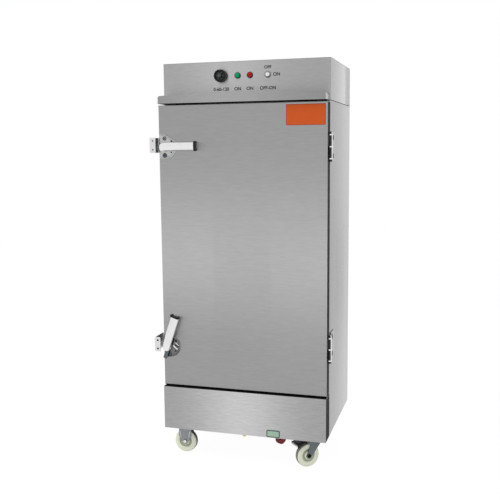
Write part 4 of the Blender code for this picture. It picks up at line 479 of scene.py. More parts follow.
# Sheet metal
for name, look, slot in (
    ("outer_casing", side_steel, "stainless_sheet"), ("control_housing", panel_steel, "stainless_sheet"),
    ("top_cover", top_steel, "stainless_sheet"), ("visor", visor_steel, "stainless_sheet"),
    ("front_skirt", sheet_steel, "stainless_sheet"), ("door_skin", door_steel, "stainless_sheet"),
    ("front_frame", sheet_steel, "stainless_sheet"), ("door_inner_panel", liner_steel, "stainless_liner"),
    ("inner_liner", liner_steel, "stainless_liner"), ("water_tank", liner_steel, "stainless_liner"),
    ("tray_rack_left", liner_steel, "stainless_liner"), ("tray_rack_right", liner_steel, "stainless_liner"),
    ("base_frame", zinc, "zinc_plate"),
):
    refined(name, look, 0.0004)

for name, look in (
    ("wall_insulation", foam), ("door_insulation", foam), ("door_gasket", silicone), ("contactor", black),
    ("timer_body", black), ("heating_element", sheath), ("float_valve", brass), ("float_arm", float_ball),
    ("drain_valve", brass), ("steam_vent", bright_cast), ("cable_gland", black),
):
    nodes[name].data.materials.clear()
    nodes[name].data.materials.append(look)


# Small parts
def screw(shape, place, radius, look=0, dark=1, height=0.0012):
    """Pan head with a cross recess, the recess a dark cross of painted shade. place puts it with its axis
    along -Y.
    """
    shape.turned([
        (0, 0), (radius, 0), (radius, -height * 0.35), (radius * 0.86, -height * 0.75),
        (radius * 0.5, -height), (0, -height),
    ], "Y", place, look, 24)
    arm, half = radius * 0.6, radius * 0.14
    for low, high in (((-arm, -half), (arm, half)), ((-half, -arm), (half, arm))):
        shape.prism(rectangle(low, high), "Y", -height * 0.6, -height * 1.06, place, dark)


def hole(shape, place, radius, dark=1, rim=0):
    """Round hole, drawn as a dark disc of painted shade, with a small turned-in rim. place puts it with its
    axis along -Y.
    """
    shape.turned([(0, 0), (radius, 0), (radius, -0.0002), (0, -0.0002)], "Y", place, dark, 24)
    shape.turned([
        (radius, 0), (radius * 1.25, 0), (radius * 1.18, -0.0003), (radius * 1.02, -0.0003),
    ], "Y", place, rim, 24)


TO_SIDE = Matrix.Rotation(math.radians(90), 4, "Z")
TO_LEFT = Matrix.Rotation(math.radians(-90), 4, "Z")

# Dial
KNOB_BACK = -0.0025
KNOB_FRONT = -0.0225
FLUTES = 16
FLUTE_DEPTH = 0.0016
FLUTE_FOOT = 0.0215


def flutes(angle, radius):
    """Grip flutes of the knob, on the part of its profile outside their foot."""
    if radius < FLUTE_FOOT:
        return radius
    return radius - FLUTE_DEPTH * (0.5 - 0.5 * math.cos(FLUTES * angle)) ** 2


shape = Shape()
shape.turned([
    (0, 0.014), (0.003, 0.014), (0.003, KNOB_BACK), (0.0252, KNOB_BACK), (0.026, KNOB_BACK - 0.0008),
    (0.026, KNOB_BACK - 0.004), (0.0254, KNOB_FRONT + 0.0030), (0.0250, KNOB_FRONT + 0.0014),
    (0.0242, KNOB_FRONT + 0.0004), (0.0232, KNOB_FRONT), (0.0206, KNOB_FRONT),
    (0.0198, KNOB_FRONT + 0.0004), (0.0193, KNOB_FRONT + 0.0012), (0.0188, KNOB_FRONT + 0.0042),
    (0.0180, KNOB_FRONT + 0.005), (0, KNOB_FRONT + 0.005),
], "Y", look=0, segments=192, lobe=flutes)
shape.turned([
    (0, KNOB_FRONT + 0.004), (0.0076, KNOB_FRONT + 0.005), (0.0074, KNOB_FRONT - 0.0026),
    (0.0066, KNOB_FRONT - 0.0036), (0.0052, KNOB_FRONT - 0.004), (0, KNOB_FRONT - 0.0037),
], "Y", look=1, segments=64)
for k in range(6):
    spin = Matrix.Rotation(math.radians(60 * k + 30), 4, "Y")
    shape.prism(rectangle((-0.0017, 0.0100), (0.0017, 0.0160), 0.0008), "Y", KNOB_FRONT + 0.0052,
                KNOB_FRONT + 0.0040, spin, 1)
shape.prism(rectangle((-0.0006, 0.0208), (0.0006, 0.0236)), "Y",
            KNOB_FRONT + 0.0004, KNOB_FRONT - 0.0002, look=2)
shape.piece("dial_knob", [black, knob_grey, print_white], "timer_dial",
            ["timer_knob"], place=at(DIAL_X, 0, PANEL_Z))

# Lamps
for name, look in (("green", green_lens), ("red", red_lens)):
    place = at(LAMPS[name], 0, PANEL_Z)
    shape = Shape()
    shape.turned([
        (0, 0.030), (0.008, 0.030), (0.008, 0.0055), (0.011, 0.0055), (0.011, 0.0015), (0.008, 0.0015),
        (0.008, -FIT), (0.0122, -FIT), (0.0125, -0.0007), (0.0122, -0.0055), (0.0116, -0.0062),
        (0.0108, -0.0064), (0.0104, -0.0061), (0.0102, -0.0052), (0, -0.0052),
    ], "Y", segments=48)
    shape.piece(f"lamp_{name}_bezel", black, "cabinet", place=place)
    shape = Shape()
    dome = []
    for i in range(8):
        t = math.pi / 2 * i / 8
        dome.append((0.0101 * math.cos(t), -0.0068 - 0.0024 * math.sin(t)))
    shape.turned([(0, -0.0053), (0.0100, -0.0053)] + dome + [(0, -0.0092)], "Y", segments=48)
    shape.piece(f"lamp_{name}_lens", look, "cabinet", [f"lamp_{name}"], place=place)

# Rotary switch
switch_place = at(SWITCH_X, 0, PANEL_Z)
shape = Shape()
shape.turned([
    (0, 0.034), (0.010, 0.034), (0.010, 0.0055), (0.014, 0.0055), (0.014, 0.0015), (0.010, 0.0015),
    (0.010, -FIT), (0.0127, -FIT), (0.013, -0.0008), (0.0130, -0.0030), (0.0124, -0.0044),
    (0.0108, -0.0064), (0.0100, -0.0069), (0.0094, -0.0069), (0.0090, -0.0064), (0.0090, -0.002),
    (0, -0.002),
], "Y", segments=64)
shape.piece("switch_bezel", leaf_cast_and_painted_reflection, "cabinet", ["switch_body"],
            place=switch_place)
shape = Shape()
shape.turned([
    (0, -0.0025), (0.0084, -0.0025), (0.0084, -0.0072), (0.0079, -0.0079), (0.0072, -0.008), (0, -0.008),
], "Y", segments=64)
for offset in (0, 1):
    size = 0.0025 - 0.0006 * offset
    reach = 0.0082 - 0.0008 * offset
    shape.prism(rectangle((-size, -reach), (size, reach), size * 0.8), "Y",
                -0.0078, -0.0100 - 0.001 * offset)
shape.prism(rectangle((-0.0004, 0.0030), (0.0004, 0.0068)), "Y", -0.0108, -0.01115, look=1)
shape.piece("switch_grip", [polished, black], "switch_key", ["switch_rotor"],
            place=switch_place)

# Hinges
LEAF_HALF = 0.057
RING_HALF = 0.0025
KNUCKLE_TOP = RING_HALF + 0.041
KNUCKLE_RADIUS = 0.0072
FINIAL_TOP = KNUCKLE_TOP + 0.0148
LEAF_FACE = 0.0055


def ring_edge(middle):
    """Round-edged ring of the barrel, its profile from below to above."""
    return [
        (0.0082, middle - RING_HALF), (0.0088, middle - RING_HALF * 0.7),
        (0.0088, middle - RING_HALF * 0.1), (0.0083, middle + RING_HALF * 0.6),
        (0.0074, middle + RING_HALF), (KNUCKLE_RADIUS, middle + RING_HALF),
    ]


def finial(way):
    """Turned end of the barrel, its profile from below to above."""
    start = KNUCKLE_TOP + RING_HALF * 2
    steps = [(0.0050, 0.0), (0.0050, 0.0014), (0.0064, 0.0022), (0.0067, 0.0045), (0.0060, 0.0075),
             (0.0034, 0.0095)]
    return [(radius, way * (start + along)) for radius, along in steps][::way]


def paint_knuckle_reflections(shape):
    """Painted reflections on the barrel's plain runs, in place of real reflections: near black along
    their front and over the lower end, grey on the door side. Angles are in degrees from +X."""
    for face in shape.bm.faces:
        middle = face.calc_center_median() - Vector((HINGE_X, HINGE_Y, 0))
        if face.material_index != 2 or math.hypot(middle.x, middle.y) > KNUCKLE_RADIUS:
            continue
        around = math.degrees(math.atan2(middle.y, middle.x))
        if middle.z < -KNUCKLE_TOP - RING_HALF or -114 < around < -44:
            face.material_index = 4
        elif around < -44 or around > 150:
            face.material_index = 5


for level, z in HINGE_LEVELS.items():
    seat = HALF_WIDTH + FIT
    here = at(0, 0, z)
    barrel = Matrix.Translation((HINGE_X, HINGE_Y, 0))
    shape = Shape()
    outline = filleted([
        (0.003, -LEAF_HALF, 0.001), (0.072, -LEAF_HALF, 0.008), (0.072, LEAF_HALF, 0.008),
        (0.003, LEAF_HALF, 0.001),
    ])
    inner = inset(outline, 0.0012)
    shape.prism(outline, "X", seat, seat + 0.0040)
    shape.prism(inner, "X", seat + 0.0036, seat + LEAF_FACE)
    shape.prism(rectangle((-0.046, -KNUCKLE_TOP), (0.006, -RING_HALF), 0.001), "X",
                seat + 0.0022, seat + 0.0054)
    profile = [(0, -FINIAL_TOP)] + finial(-1) + ring_edge(-KNUCKLE_TOP - RING_HALF)
    profile += [(KNUCKLE_RADIUS, -KNUCKLE_TOP), (KNUCKLE_RADIUS, -RING_HALF)] + ring_edge(0)[:-1]
    profile += [(0.004, RING_HALF - FIT), (0.004, KNUCKLE_TOP - FIT), (0, KNUCKLE_TOP - FIT)]
    shape.turned(profile, "Z", barrel, 2)
    for dz in (-0.036, 0.036):
        hole(shape, Matrix.Translation((seat + LEAF_FACE, 0.030, dz)) @ TO_SIDE, 0.0105)
        screw(shape, Matrix.Translation((seat + LEAF_FACE + 0.0001, 0.030, dz)) @ TO_SIDE, 0.0050, 3,
              1, 0.0010)
    paint_knuckle_reflections(shape)
    shape.piece(f"{level}_hinge_leaf",
                [leaf_cast_and_painted_reflection, painted_shade_black, polished, dark_zinc_and_painted_shade, knuckle_painted_reflection, leaf_cast_and_painted_reflection],
                "cabinet", [f"{level}_hinge_body_leaf"], 0.0004, here)
    shape = Shape()
    # Painted shade: the door's flap takes the darker zinc copy along the door's side
    shape.prism(rectangle((-0.060, RING_HALF), (-0.016, KNUCKLE_TOP), 0.002), "X", seat, seat + 0.0022)
    profile = [(0.0045, RING_HALF), (KNUCKLE_RADIUS, RING_HALF), (KNUCKLE_RADIUS, KNUCKLE_TOP)]
    profile += ring_edge(KNUCKLE_TOP + RING_HALF) + finial(1)
    profile += [(0, FINIAL_TOP), (0, KNUCKLE_TOP), (0.0045, KNUCKLE_TOP)]
    shape.turned(profile, "Z", barrel, 2)
    for dz in (0.011, 0.031):
        screw(shape, Matrix.Translation((seat + 0.0022, -0.024, dz)) @ TO_SIDE, 0.0038)
    paint_knuckle_reflections(shape)
    shape.piece(f"{level}_hinge_flap",
                [dark_zinc_and_painted_shade, painted_shade_black, polished, dark_zinc_and_painted_shade, knuckle_painted_reflection, leaf_cast_and_painted_reflection],
                "door", [f"{level}_hinge_door_leaf"], 0.0004, here)

# Latches
PLATE_FRONT = LATCH_SEAT - 0.004
PLATE_FLOOR = PLATE_FRONT + 0.0014
BOSS_FACE = PLATE_FRONT - 0.002
TONGUE_BACK = BOSS_FACE - 0.001
TONGUE_FRONT = TONGUE_BACK - 0.006
LIP_FRONT = TONGUE_FRONT - 0.003 - 0.003
LEVER_BACK = DOOR_FRONT - 0.016
TIP_FRONT = LEVER_BACK - 0.0165
LEVER_SECTION_SHARES = [
    (1.0, 0.10), (0.985, 0.30), (0.93, 0.50), (0.82, 0.68), (0.64, 0.82), (0.44, 0.905),
    (0.20, 0.955), (-0.02, 1.0), (-0.10, 0.985), (-0.35, 0.84), (-0.62, 0.62), (-0.84, 0.38),
    (-0.96, 0.18), (-1.0, 0.08),
]
for level, (z, raised) in LATCH_LEVELS.items():
    here = at(LATCH_X, 0, z)
    shape = Shape()
    outline = filleted([
        (-0.021, -0.043, 0.008), (0.005, -0.043, 0.012), (0.033, -0.034, 0.012), (0.049, -0.013, 0.012),
        (0.049, 0.028, 0.012), (0.005, 0.058, 0.012), (-0.021, 0.058, 0.008),
    ], 8)
    shape.loft([
        [(a, depth, b) for a, b in inset(outline, drawn)]
        for drawn, depth in ((0, LATCH_SEAT), (0, LATCH_SEAT - 0.0008), (0.0030, PLATE_FRONT),
                             (0.0046, PLATE_FRONT), (0.0062, PLATE_FLOOR))
    ])
    shape.turned([
        (0, LATCH_SEAT), (0.0155, PLATE_FRONT + 0.001), (0.015, PLATE_FRONT - 0.0014),
        (0.0145, BOSS_FACE), (0.004, BOSS_FACE), (0.004, BOSS_FACE - 0.011), (0, BOSS_FACE - 0.011),
    ], "Y")
    for dx, dz, size in ((0.002, 0.040, 0.0064), (0.002, -0.029, 0.0074), (0.036, 0.008, 0.0064)):
        spot = Matrix.Translation((dx, PLATE_FLOOR, dz))
        hole(shape, spot, size * 1.3)
        # Painted light: the top screw of the upper latch takes the plain zinc, the other screws the darker
        # copy as painted shade
        lit_ear_screw = level == "upper" and dz > 0.03
        screw(shape, spot @ Matrix.Rotation(0.6, 4, "Y"), size, 4 if lit_ear_screw else 2, 1, 0.0018)
    hole(shape, Matrix.Translation((0.032, PLATE_FLOOR, 0.028)), 0.0042)
    hole(shape, Matrix.Translation((0.030, PLATE_FLOOR, -0.016)), 0.0032)
    if level == "lower":
        for x, up, reach, half in ((0.0290, 0.000, 0.0120, 0.0026), (0.0370, 0.014, 0.0090, 0.0016)):
            spot = Matrix.Translation((x, PLATE_FLOOR, up)) @ Matrix.Rotation(math.radians(40), 4, "Y")
            shape.prism(rectangle((-reach, -half), (reach, half), 0.0008), "Y", 0, -0.0016, spot, 3)
    # Painted shade: the lower latch plate takes a darker copy of the cast plate
    plate_lit_or_shaded = plate_cast if level == "upper" else plate_painted_shade
    shape.piece(f"{level}_latch_plate", [plate_lit_or_shaded, painted_shade_black, dark_zinc_and_painted_shade, polished, zinc], "door",
                [f"{level}_latch_base"], 0.0004, here)
    swing = here @ Matrix.Rotation(-raised, 4, "Y")
    shape = Shape()
    sections = []
    for x, width, depth, rise in (
        (-0.0150, 0.018, 0.0070, 0.004), (-0.0143, 0.023, 0.0095, 0.004),
        (-0.0120, 0.0270, 0.0120, 0.0045), (-0.0070, 0.0300, 0.0142, 0.0050),
        (0.0020, 0.0325, 0.0154, 0.0060), (0.015, 0.0350, 0.0160, 0.0074),
        (0.030, 0.036, 0.016, 0.008), (0.080, 0.036, 0.016, 0.008), (0.1355, 0.036, 0.016, 0.008),
    ):
        half = width / 2
        ring = [(x, LEVER_BACK - depth * forward, rise + half * across)
                for across, forward in LEVER_SECTION_SHARES]
        ring += [(x, LEVER_BACK, rise - half * 0.96), (x, LEVER_BACK, rise + half * 0.96)]
        sections.append(ring)
    shape.loft(sections)
    shape.turned([
        (0, TONGUE_BACK), (0.0118, TONGUE_BACK), (0.012, BOSS_FACE - 0.0014),
        (0.012, LEVER_BACK + 0.0004), (0, LEVER_BACK + 0.0004),
    ], "Y")
    # Painted shade: the tongue takes the darker zinc copy behind the keeper
    shape.prism(rectangle((-0.050, -0.008), (0, 0.008), 0.0025), "Y", TONGUE_BACK, TONGUE_FRONT,
                look=1)
    shape.piece(f"{level}_latch_handle", [polished, dark_zinc_and_painted_shade], f"{level}_latch",
                [f"{level}_latch_lever"], 0.0007, swing)
    shape = Shape()
    shape.prism(rectangle((0.1363, -0.0065), (0.1448, 0.0225), 0.002), "Y", LEVER_BACK, TIP_FRONT)
    for dz in (-0.0065, 0.0225):
        shape.turned([
            (0, LEVER_BACK), (0.0056, LEVER_BACK), (0.006, LEVER_BACK - 0.0005),
            (0.006, LEVER_BACK - 0.0158), (0.0052, TIP_FRONT), (0, TIP_FRONT),
        ], "Y", Matrix.Translation((0.14225, 0, dz)), segments=32)
    tip = shape.piece(f"{level}_latch_tip", black, f"{level}_latch",
                      [f"{level}_latch_cap"], 0.0005, swing)
    tip.visible_glossy = False
    refined(f"{level}_keeper", bright_cast, 0.0006)
    shape = Shape()
    for dz in (-0.018, 0.018):
        height = z + 0.0125 + dz
        hole(shape, at(-0.3700, LIP_FRONT, height), 0.0030 if level == "upper" else 0.0042)
        screw(shape, at(-HALF_WIDTH - FIT - 0.003, 0.040, height) @ TO_LEFT, 0.0050)
    shape.piece(f"{level}_keeper_screws", [bright_cast, painted_shade_black], "cabinet")

# Castors
CASTOR_X = 0.285
CASTOR_ROWS = {"front": (0.011, 40), "rear": (0.420, 15)}
CASTOR_TRAIL = 0.033
PEDAL_PIVOT = (-0.035, 0, -0.0215)
WHEEL_Z = -0.083
TREAD_RADIUS = 0.0490


def hexagon(radius):
    return [(radius * math.cos(math.pi / 3 * i), radius * math.sin(math.pi / 3 * i)) for i in range(6)]


def pedal(name, place):
    """Brake pedal: a dished plate with a toothed bright lip along its end, and its shoe below."""
    shape = Shape()
    shape.turned([(0.0031, -0.0150), (0.0045, -0.0150), (0.0045, 0.0150), (0.0031, 0.0150)], "Y", segments=24)
    shape.prism(rectangle((-0.014, -0.0150), (-0.0040, 0.0150)), "Z", -0.002, 0.002)
    section = [(-1.0, -0.0034), (1.0, -0.0034), (1.0, 0.0012), (0.55, 0.0022), (-0.55, 0.0022),
               (-1.0, 0.0012)]
    sections = []
    for x, half, drop in ((-0.0125, 0.0160, 0.0), (-0.022, 0.0235, 0.0006), (-0.038, 0.0275, 0.0022),
                          (-0.050, 0.0290, 0.0042), (-0.0545, 0.0285, 0.0054)):
        sections.append([(x, y * half, up - drop) for y, up in section])
    shape.loft(sections)
    shape.prism(rectangle((-0.0568, -0.0285), (-0.0542, 0.0285), 0.001), "Z", -0.0128, -0.0030)
    for k in range(11):
        y = -0.0265 + 0.0053 * k
        tooth = [(-0.0566, y - 0.0020), (-0.0566, y + 0.0020), (-0.0588, y)]
        shape.prism(tooth, "Z", -0.0130, -0.0062, look=1)
    shape.prism(rectangle((-0.0540, -0.0285), (-0.0430, -0.0160), 0.003), "Z", -0.0150, -0.0030)
    shape.prism(rectangle((-0.028, -0.0125), (-0.016, 0.0125), 0.001), "Z", -0.0095, -0.001)
    shape.piece(f"{name}_brake", [black, print_white], body_of(f"{name}_pedal"),
                [f"{name}_pedal"], 0.0004, place)


side = [
    (0.0066, 0.0138), (0.0150, 0.0138), (0.0168, 0.0132), (0.0178, 0.0118), (0.0186, 0.0096),
    (0.0200, 0.0086), (0.0250, 0.0086), (0.0264, 0.0094), (0.0280, 0.0118), (0.0300, 0.0130),
    (0.0320, 0.0135), (0.0445, 0.0139), (0.0466, 0.0133), (0.0482, 0.0118), (0.0492, 0.0096),
    (0.0498, 0.0064), (0.0500, 0.0),
]
wheel_profile = side + [(r, -y) for r, y in reversed(side[:-1])]
for row, (y, swivel) in CASTOR_ROWS.items():
    for hand in ("left", "right"):
        name = f"castor_{row}_{hand}"
        # Painted light: the right castors take a darker copy of the metal and near black bolt heads as
        # painted shade; the left ones plain zinc and bright bolt heads
        if hand == "left":
            base = at(-CASTOR_X, y, 0)
            hub = base @ Matrix.Translation((0, 0, WHEEL_Z))
            metal = zinc
        else:
            base = at(CASTOR_X, y, 0) @ Matrix.Rotation(math.radians(swivel), 4, "Z")
            hub = base @ Matrix.Translation((-CASTOR_TRAIL, 0, WHEEL_Z))
            metal = dark_zinc_and_painted_shade
            refined(f"{name}_plate", metal, 0.0006)
        refined(f"{name}_fork", metal, 0.0005)
        if hand == "left":
            # Painted highlight: thin strips of paler plate on the left forks' legs
            shape = Shape()
            for x in (-0.0225, 0.0225):
                for out in (-1, 1):
                    near, far = sorted((out * 0.0186, out * 0.0196))
                    shape.prism([(x - 0.0020, 0.046), (x + 0.0020, 0.046), (x * 0.78 + 0.0018, 0.018),
                                 (x * 0.78 - 0.0018, 0.018)], "Y", near, far)
            shape.piece(f"{name}_highlight_strips", plate_cast, "cabinet", (), 0.0004, hub)
        shape = Shape()
        shape.turned(wheel_profile, "Y", segments=96)
        # Painted shade: the tread band and the web groove take darker copies of the nylon
        for face in shape.bm.faces:
            radii = [math.hypot(v.co.x, v.co.z) for v in face.verts]
            if min(radii) > TREAD_RADIUS:
                face.material_index = 2
            elif 0.0170 < min(radii) and max(radii) < 0.0281:
                face.material_index = 1
        for out in (-1, 1):
            shape.turned([(0.0066, out * 0.0130), (0.0105, out * 0.0130), (0.0108, out * 0.0142),
                          (0.0066, out * 0.0142)], "Y", look=1, segments=48)
        # The tread's painted shade is near black on the left wheels and olive on the right
        tread = tread_near_black_shade if hand == "left" else tread_olive_shade
        shape.piece(f"{name}_tyre", [nylon, nylon_shade, tread], body_of(f"{name}_wheel"),
                    [f"{name}_wheel"], place=hub)
        shape = Shape()
        shape.turned([(0, -0.0185), (0.0060, -0.0185), (0.0060, 0.0185), (0, 0.0185)], "Y", segments=32)
        for out in (-1, 1):
            shape.turned([(0.006, out * 0.0188), (0.0088, out * 0.0188), (0.0088, out * 0.0196),
                          (0.006, out * 0.0196)], "Y", look=1, segments=32)
            shape.prism(hexagon(0.00782), "Y", out * 0.0194, out * 0.0226)
            shape.turned([(0, out * 0.0220), (0.0040, out * 0.0220), (0.0040, out * 0.0230),
                          (0.0034, out * 0.0236), (0, out * 0.0237)], "Y", segments=24)
        # Painted shade: near black bolt heads on the right castors
        head = bright_cast if hand == "left" else painted_shade_black
        shape.piece(f"{name}_bolt", [head, dark_zinc_and_painted_shade], body_of(f"{name}_axle"),
                    [f"{name}_axle"], 0.0004, hub)
        if hand == "right":
            pedal(name, base @ Matrix.Translation(PEDAL_PIVOT))

# Drain handwheel
WHEEL_ARMS = 5
RIM_HALF = 0.0042
RIM_MIDDLE = 0.0152 + RIM_HALF
LOBE_DEPTH = 0.0016


def lobes(angle, radius):
    """Finger grips in the rim, one for each arm."""
    return radius - LOBE_DEPTH * (0.5 - 0.5 * math.cos(WHEEL_ARMS * angle))


shape = Shape()
rim = []
for i in range(16):
    t = math.pi * i / 8
    rim.append((RIM_MIDDLE + RIM_HALF * math.cos(t), RIM_HALF * math.sin(t)))
shape.turned(rim, "Y", segments=120, lobe=lobes)
shape.turned([
    (0, -0.005), (0.0062, -0.005), (0.0072, -0.0042), (0.0075, -0.003), (0.0075, 0.004),
    (0.0062, 0.005), (0, 0.005),
], "Y", segments=48)
shape.turned([(0, -0.0016), (0.0170, -0.0012), (0.0170, 0.0012), (0, 0.0016)], "Y", segments=60)
for k in range(WHEEL_ARMS):
    arm = Matrix.Rotation(2 * math.pi * k / WHEEL_ARMS, 4, "Y")
    shape.prism(rectangle((-0.003, -0.0028), (0.003, 0.0028), 0.0015), "Z", 0.004, 0.0172, arm)
shape.prism(hexagon(0.0048), "Y", -0.0045, -0.0050, look=1)
shape.turned([(0, 0), (0.0038, 0), (0.0038, 0.045), (0, 0.045)], "Y", look=1, segments=24)
shape.piece("drain_wheel_rim", [wheel_red, bright_cast], "drain_wheel",
            ["drain_handwheel"], 0.0003, at(0.1525, -0.038, -0.0155))

# Overflow pipe
shape = Shape()
shape.turned([
    (0.0060, -0.046), (0.0066, -0.0462), (0.0076, -0.0458), (0.0078, -0.0450), (0.0078, 0.0221),
    (0.014, 0.0221), (0.014, 0.0251), (0.0078, 0.0251), (0.0078, 0.150), (0.0060, 0.150),
], "Z", segments=48)
shape.piece("overflow_tube", brass, "cabinet", ["overflow_pipe"], place=at(-0.0244, 0.028, 0))

# Blank label plate, tag, dark strips of painted shade in the gaps and on the sides of the sheet metal, and a
# dark strip in the top seam
MARGIN = 0.0012


def on_front(shape, low, high, radius, front, start, look=0):
    """A thin plate over a front face, between two (x, z) corners."""
    shape.prism(rectangle(low, high, radius), "Y", front - start, front - start - 0.0003, look=look)


def on_flanks(shape, low, high):
    """A thin strip on both sides of the body, between two (y, z) corners."""
    for out in (-1, 1):
        near, far = sorted((out * HALF_WIDTH, out * (HALF_WIDTH + 0.0002)))
        shape.prism(rectangle(low, high), "X", near, far)


def on_top(shape, front, back, low, high, margin=MARGIN, radius=0.0, look=0):
    """A thin plate as wide as the body but for a margin, from front to back and low to high."""
    outline = rectangle((-HALF_WIDTH + margin, front), (HALF_WIDTH - margin, back), radius)
    shape.prism(outline, "Z", low, high, look=look)


shape = Shape()
on_front(shape, (0.186, 1.271), (0.342, 1.352), 0.002, DOOR_FRONT, 0.0001, 1)
on_front(shape, (0.1880, 1.2730), (0.3400, 1.3500), 0.0015, DOOR_FRONT, 0.0003)
shape.piece("label_plate", [orange, orange_dark], "door", place=at(0, 0, 0))
shape = Shape()
shape.prism(rectangle((0.102, 0.002), (0.159, 0.033), 0.006), "Y", SKIRT_FRONT - 0.0001,
            SKIRT_FRONT - 0.0005, look=1)
shape.prism(rectangle((0.1062, 0.0062), (0.1548, 0.0288), 0.0035), "Y", SKIRT_FRONT - 0.0004,
            SKIRT_FRONT - 0.0008)
shape.piece("skirt_tag", [tag_green, tag_dark], "cabinet", place=at(0, 0, 0))
shape = Shape()
# Painted shade: dark strips on the door's sides and along its top and bottom edges, where the gaps lie in
# shade
on_flanks(shape, (DOOR_FRONT + 0.0032, DOOR_BOTTOM + MARGIN), (-0.0112, DOOR_TOP - MARGIN))
for low, high in ((DOOR_BOTTOM, DOOR_BOTTOM + 0.0017), (DOOR_TOP - 0.0014, DOOR_TOP)):
    on_front(shape, (-HALF_WIDTH + 0.0010, low), (HALF_WIDTH - 0.0010, high), 0, DOOR_FRONT, 0, 1)
shape.piece("door_edge_painted_shade", [rubber_and_shade, painted_shade_black], "door", place=at(0, 0, 0))
shape = Shape()
# Painted shade: dark strips on the skirt's sides and over its top ledge under the door
on_flanks(shape, (SKIRT_FRONT + 0.0032, MARGIN), (-MARGIN, SKIRT_TOP - MARGIN))
on_top(shape, SKIRT_FRONT + 0.0015, -MARGIN, SKIRT_TOP, SKIRT_TOP + 0.0004, look=1)
shape.piece("skirt_edge_painted_shade", [rubber_and_shade, painted_shade_black], "cabinet", place=at(0, 0, 0))
shape = Shape()
# Painted shade: a black sheet under the visor, in the gap above the door
on_top(shape, DOOR_FRONT - 0.0135, -MARGIN, VISOR_BOTTOM - 0.0004, VISOR_BOTTOM)
shape.piece("visor_gap_painted_shade", painted_shade_black, "cabinet", place=at(0, 0, 0))
shape = Shape()
on_top(shape, 0.0008, BODY_DEPTH - 0.0008, BODY_HEIGHT - 0.0024, BODY_HEIGHT - 0.0001, 0.0008, 0.0042)
shape.piece("seam_seal", rubber_and_shade, "cabinet", place=at(0, 0, 0))


def words(name, text, x, z, height, look):
    """Plain figures or ON and OFF, laid on the front of the control box."""
    curve = bpy.data.curves.new(name, "FONT")
    curve.body = text
    curve.size = height * 1.4
    curve.extrude = 0.00006
    curve.offset = 0.0005
    curve.align_x = "CENTER"
    written = bpy.data.objects.new(name, curve)
    scene.collection.objects.link(written)
    bpy.context.view_layer.update()
    mesh = bpy.data.meshes.new_from_object(written.evaluated_get(bpy.context.evaluated_depsgraph_get()))
    bpy.data.objects.remove(written)
    mesh.transform(at(x, -0.0001, z) @ Matrix.Rotation(math.radians(90), 4, "X"))
    mesh.materials.clear()
    mesh.materials.append(look)
    finished(name, mesh, "cabinet")


LOWER_ROW = 1.4160
for name, text, x, z, height in (
    ("figures_dial", "0-60-120", DIAL_X, LOWER_ROW, 0.0130),
    ("lamp_green_on", "ON", LAMPS["green"], LOWER_ROW, 0.0130),
    ("lamp_red_on", "ON", LAMPS["red"], LOWER_ROW, 0.0130),
    ("switch_places", "OFF-ON", SWITCH_X, LOWER_ROW, 0.0130),
    ("switch_off", "OFF", SWITCH_X, 1.4975, 0.0120),
    ("switch_on", "ON", 0.1330, 1.4685, 0.0130),
):
    words(name, text, x, z, height, print_dark)

# Camera, solved from the straight edges of the body, which give its place, turn and lens
CAMERA_PLACE = Vector((0.8828, -2.9602, 1.1778))
turn = Matrix.Rotation(math.radians(16.313), 3, "Z") @ Matrix.Rotation(math.radians(-7.564), 3, "X")
turn = turn @ Matrix.Rotation(math.radians(0.537), 3, "Y")
camera_data = bpy.data.cameras.new("camera")
camera_data.lens = 54.312
camera_data.sensor_width = 36.0
camera_data.sensor_fit = "HORIZONTAL"
camera = bpy.data.objects.new("camera", camera_data)
scene.collection.objects.link(camera)
right, ahead, up = turn.col[0], turn.col[1], turn.col[2]
place = Matrix.Translation(ORIGIN + CAMERA_PLACE)
camera.matrix_world = place @ Matrix((right, up, -ahead)).transposed().to_4x4()
scene.camera = camera


def background_rays(tree, path):
    """1 for the rays that see the pale background: camera, glossy and transmission rays."""
    found = path.outputs["Is Camera Ray"]
    for kind in ("Is Glossy Ray", "Is Transmission Ray"):
        either = tree.nodes.new("ShaderNodeMath")
        either.operation = "MAXIMUM"
        tree.links.new(found, either.inputs[0])
        tree.links.new(path.outputs[kind], either.inputs[1])
        found = either.outputs[0]
    return found


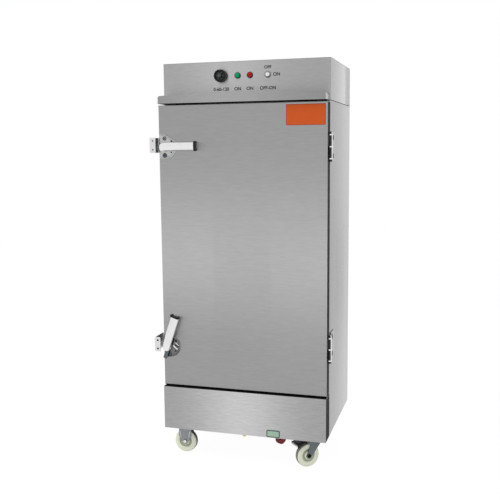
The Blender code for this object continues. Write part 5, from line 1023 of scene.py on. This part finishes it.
# Floor: pale paper that takes the object's shadow, and nearly white where background rays see it
PAPER = (0.8, 0.8, 0.8, 1)
WHITE = (1, 1, 1, 1)
bm = bmesh.new()
bmesh.ops.create_grid(bm, x_segments=4, y_segments=4, size=6.0)
floor_mesh = bpy.data.meshes.new("floor")
bm.to_mesh(floor_mesh)
bm.free()
floor = bpy.data.objects.new("floor", floor_mesh)
scene.collection.objects.link(floor)
paper = bpy.data.materials.new("paper")
paper.use_nodes = True
tree = paper.node_tree
tree.nodes.clear()
output = tree.nodes.new("ShaderNodeOutputMaterial")
path = tree.nodes.new("ShaderNodeLightPath")
plain = tree.nodes.new("ShaderNodeBsdfDiffuse")
plain.inputs["Color"].default_value = PAPER
white = tree.nodes.new("ShaderNodeEmission")
white.inputs["Color"].default_value = WHITE
white.inputs["Strength"].default_value = 1.06
lit = tree.nodes.new("ShaderNodeMixShader")
lit.inputs["Fac"].default_value = 0.9
tree.links.new(plain.outputs[0], lit.inputs[1])
tree.links.new(white.outputs[0], lit.inputs[2])
seen = tree.nodes.new("ShaderNodeMixShader")
tree.links.new(background_rays(tree, path), seen.inputs["Fac"])
tree.links.new(plain.outputs[0], seen.inputs[1])
tree.links.new(lit.outputs[0], seen.inputs[2])
tree.links.new(seen.outputs[0], output.inputs["Surface"])
floor_mesh.materials.append(paper)

# Studio: an even world that lights softly and is white to background rays, and two soft lamps
world = bpy.data.worlds.new("studio")
scene.world = world
world.use_nodes = True
tree = world.node_tree
tree.nodes.clear()
output = tree.nodes.new("ShaderNodeOutputWorld")
path = tree.nodes.new("ShaderNodeLightPath")
soft = tree.nodes.new("ShaderNodeBackground")
soft.inputs["Color"].default_value = WHITE
soft.inputs["Strength"].default_value = 0.66
clean = tree.nodes.new("ShaderNodeBackground")
clean.inputs["Color"].default_value = WHITE
clean.inputs["Strength"].default_value = 1.0
pick = tree.nodes.new("ShaderNodeMixShader")
tree.links.new(background_rays(tree, path), pick.inputs["Fac"])
tree.links.new(soft.outputs[0], pick.inputs[1])
tree.links.new(clean.outputs[0], pick.inputs[2])
tree.links.new(pick.outputs[0], output.inputs["Surface"])


def lamp(name, place, target, size, power):
    """Round soft lamp aimed at a point, hidden from glossy rays."""
    data = bpy.data.lights.new(name, "AREA")
    data.shape = "DISK"
    data.size = size
    data.energy = power
    made = bpy.data.objects.new(name, data)
    scene.collection.objects.link(made)
    made.location = place
    made.rotation_euler = (Vector(target) - Vector(place)).to_track_quat("-Z", "Y").to_euler()
    made.visible_glossy = False


lamp("key", (-2.8, -1.9, 3.8), (0, 0, 0.9), 3.2, 90)
lamp("fill", (2.6, -2.0, 3.6), (0.2, 0, 0.9), 3.0, 26)

scene.view_settings.view_transform = "Standard"
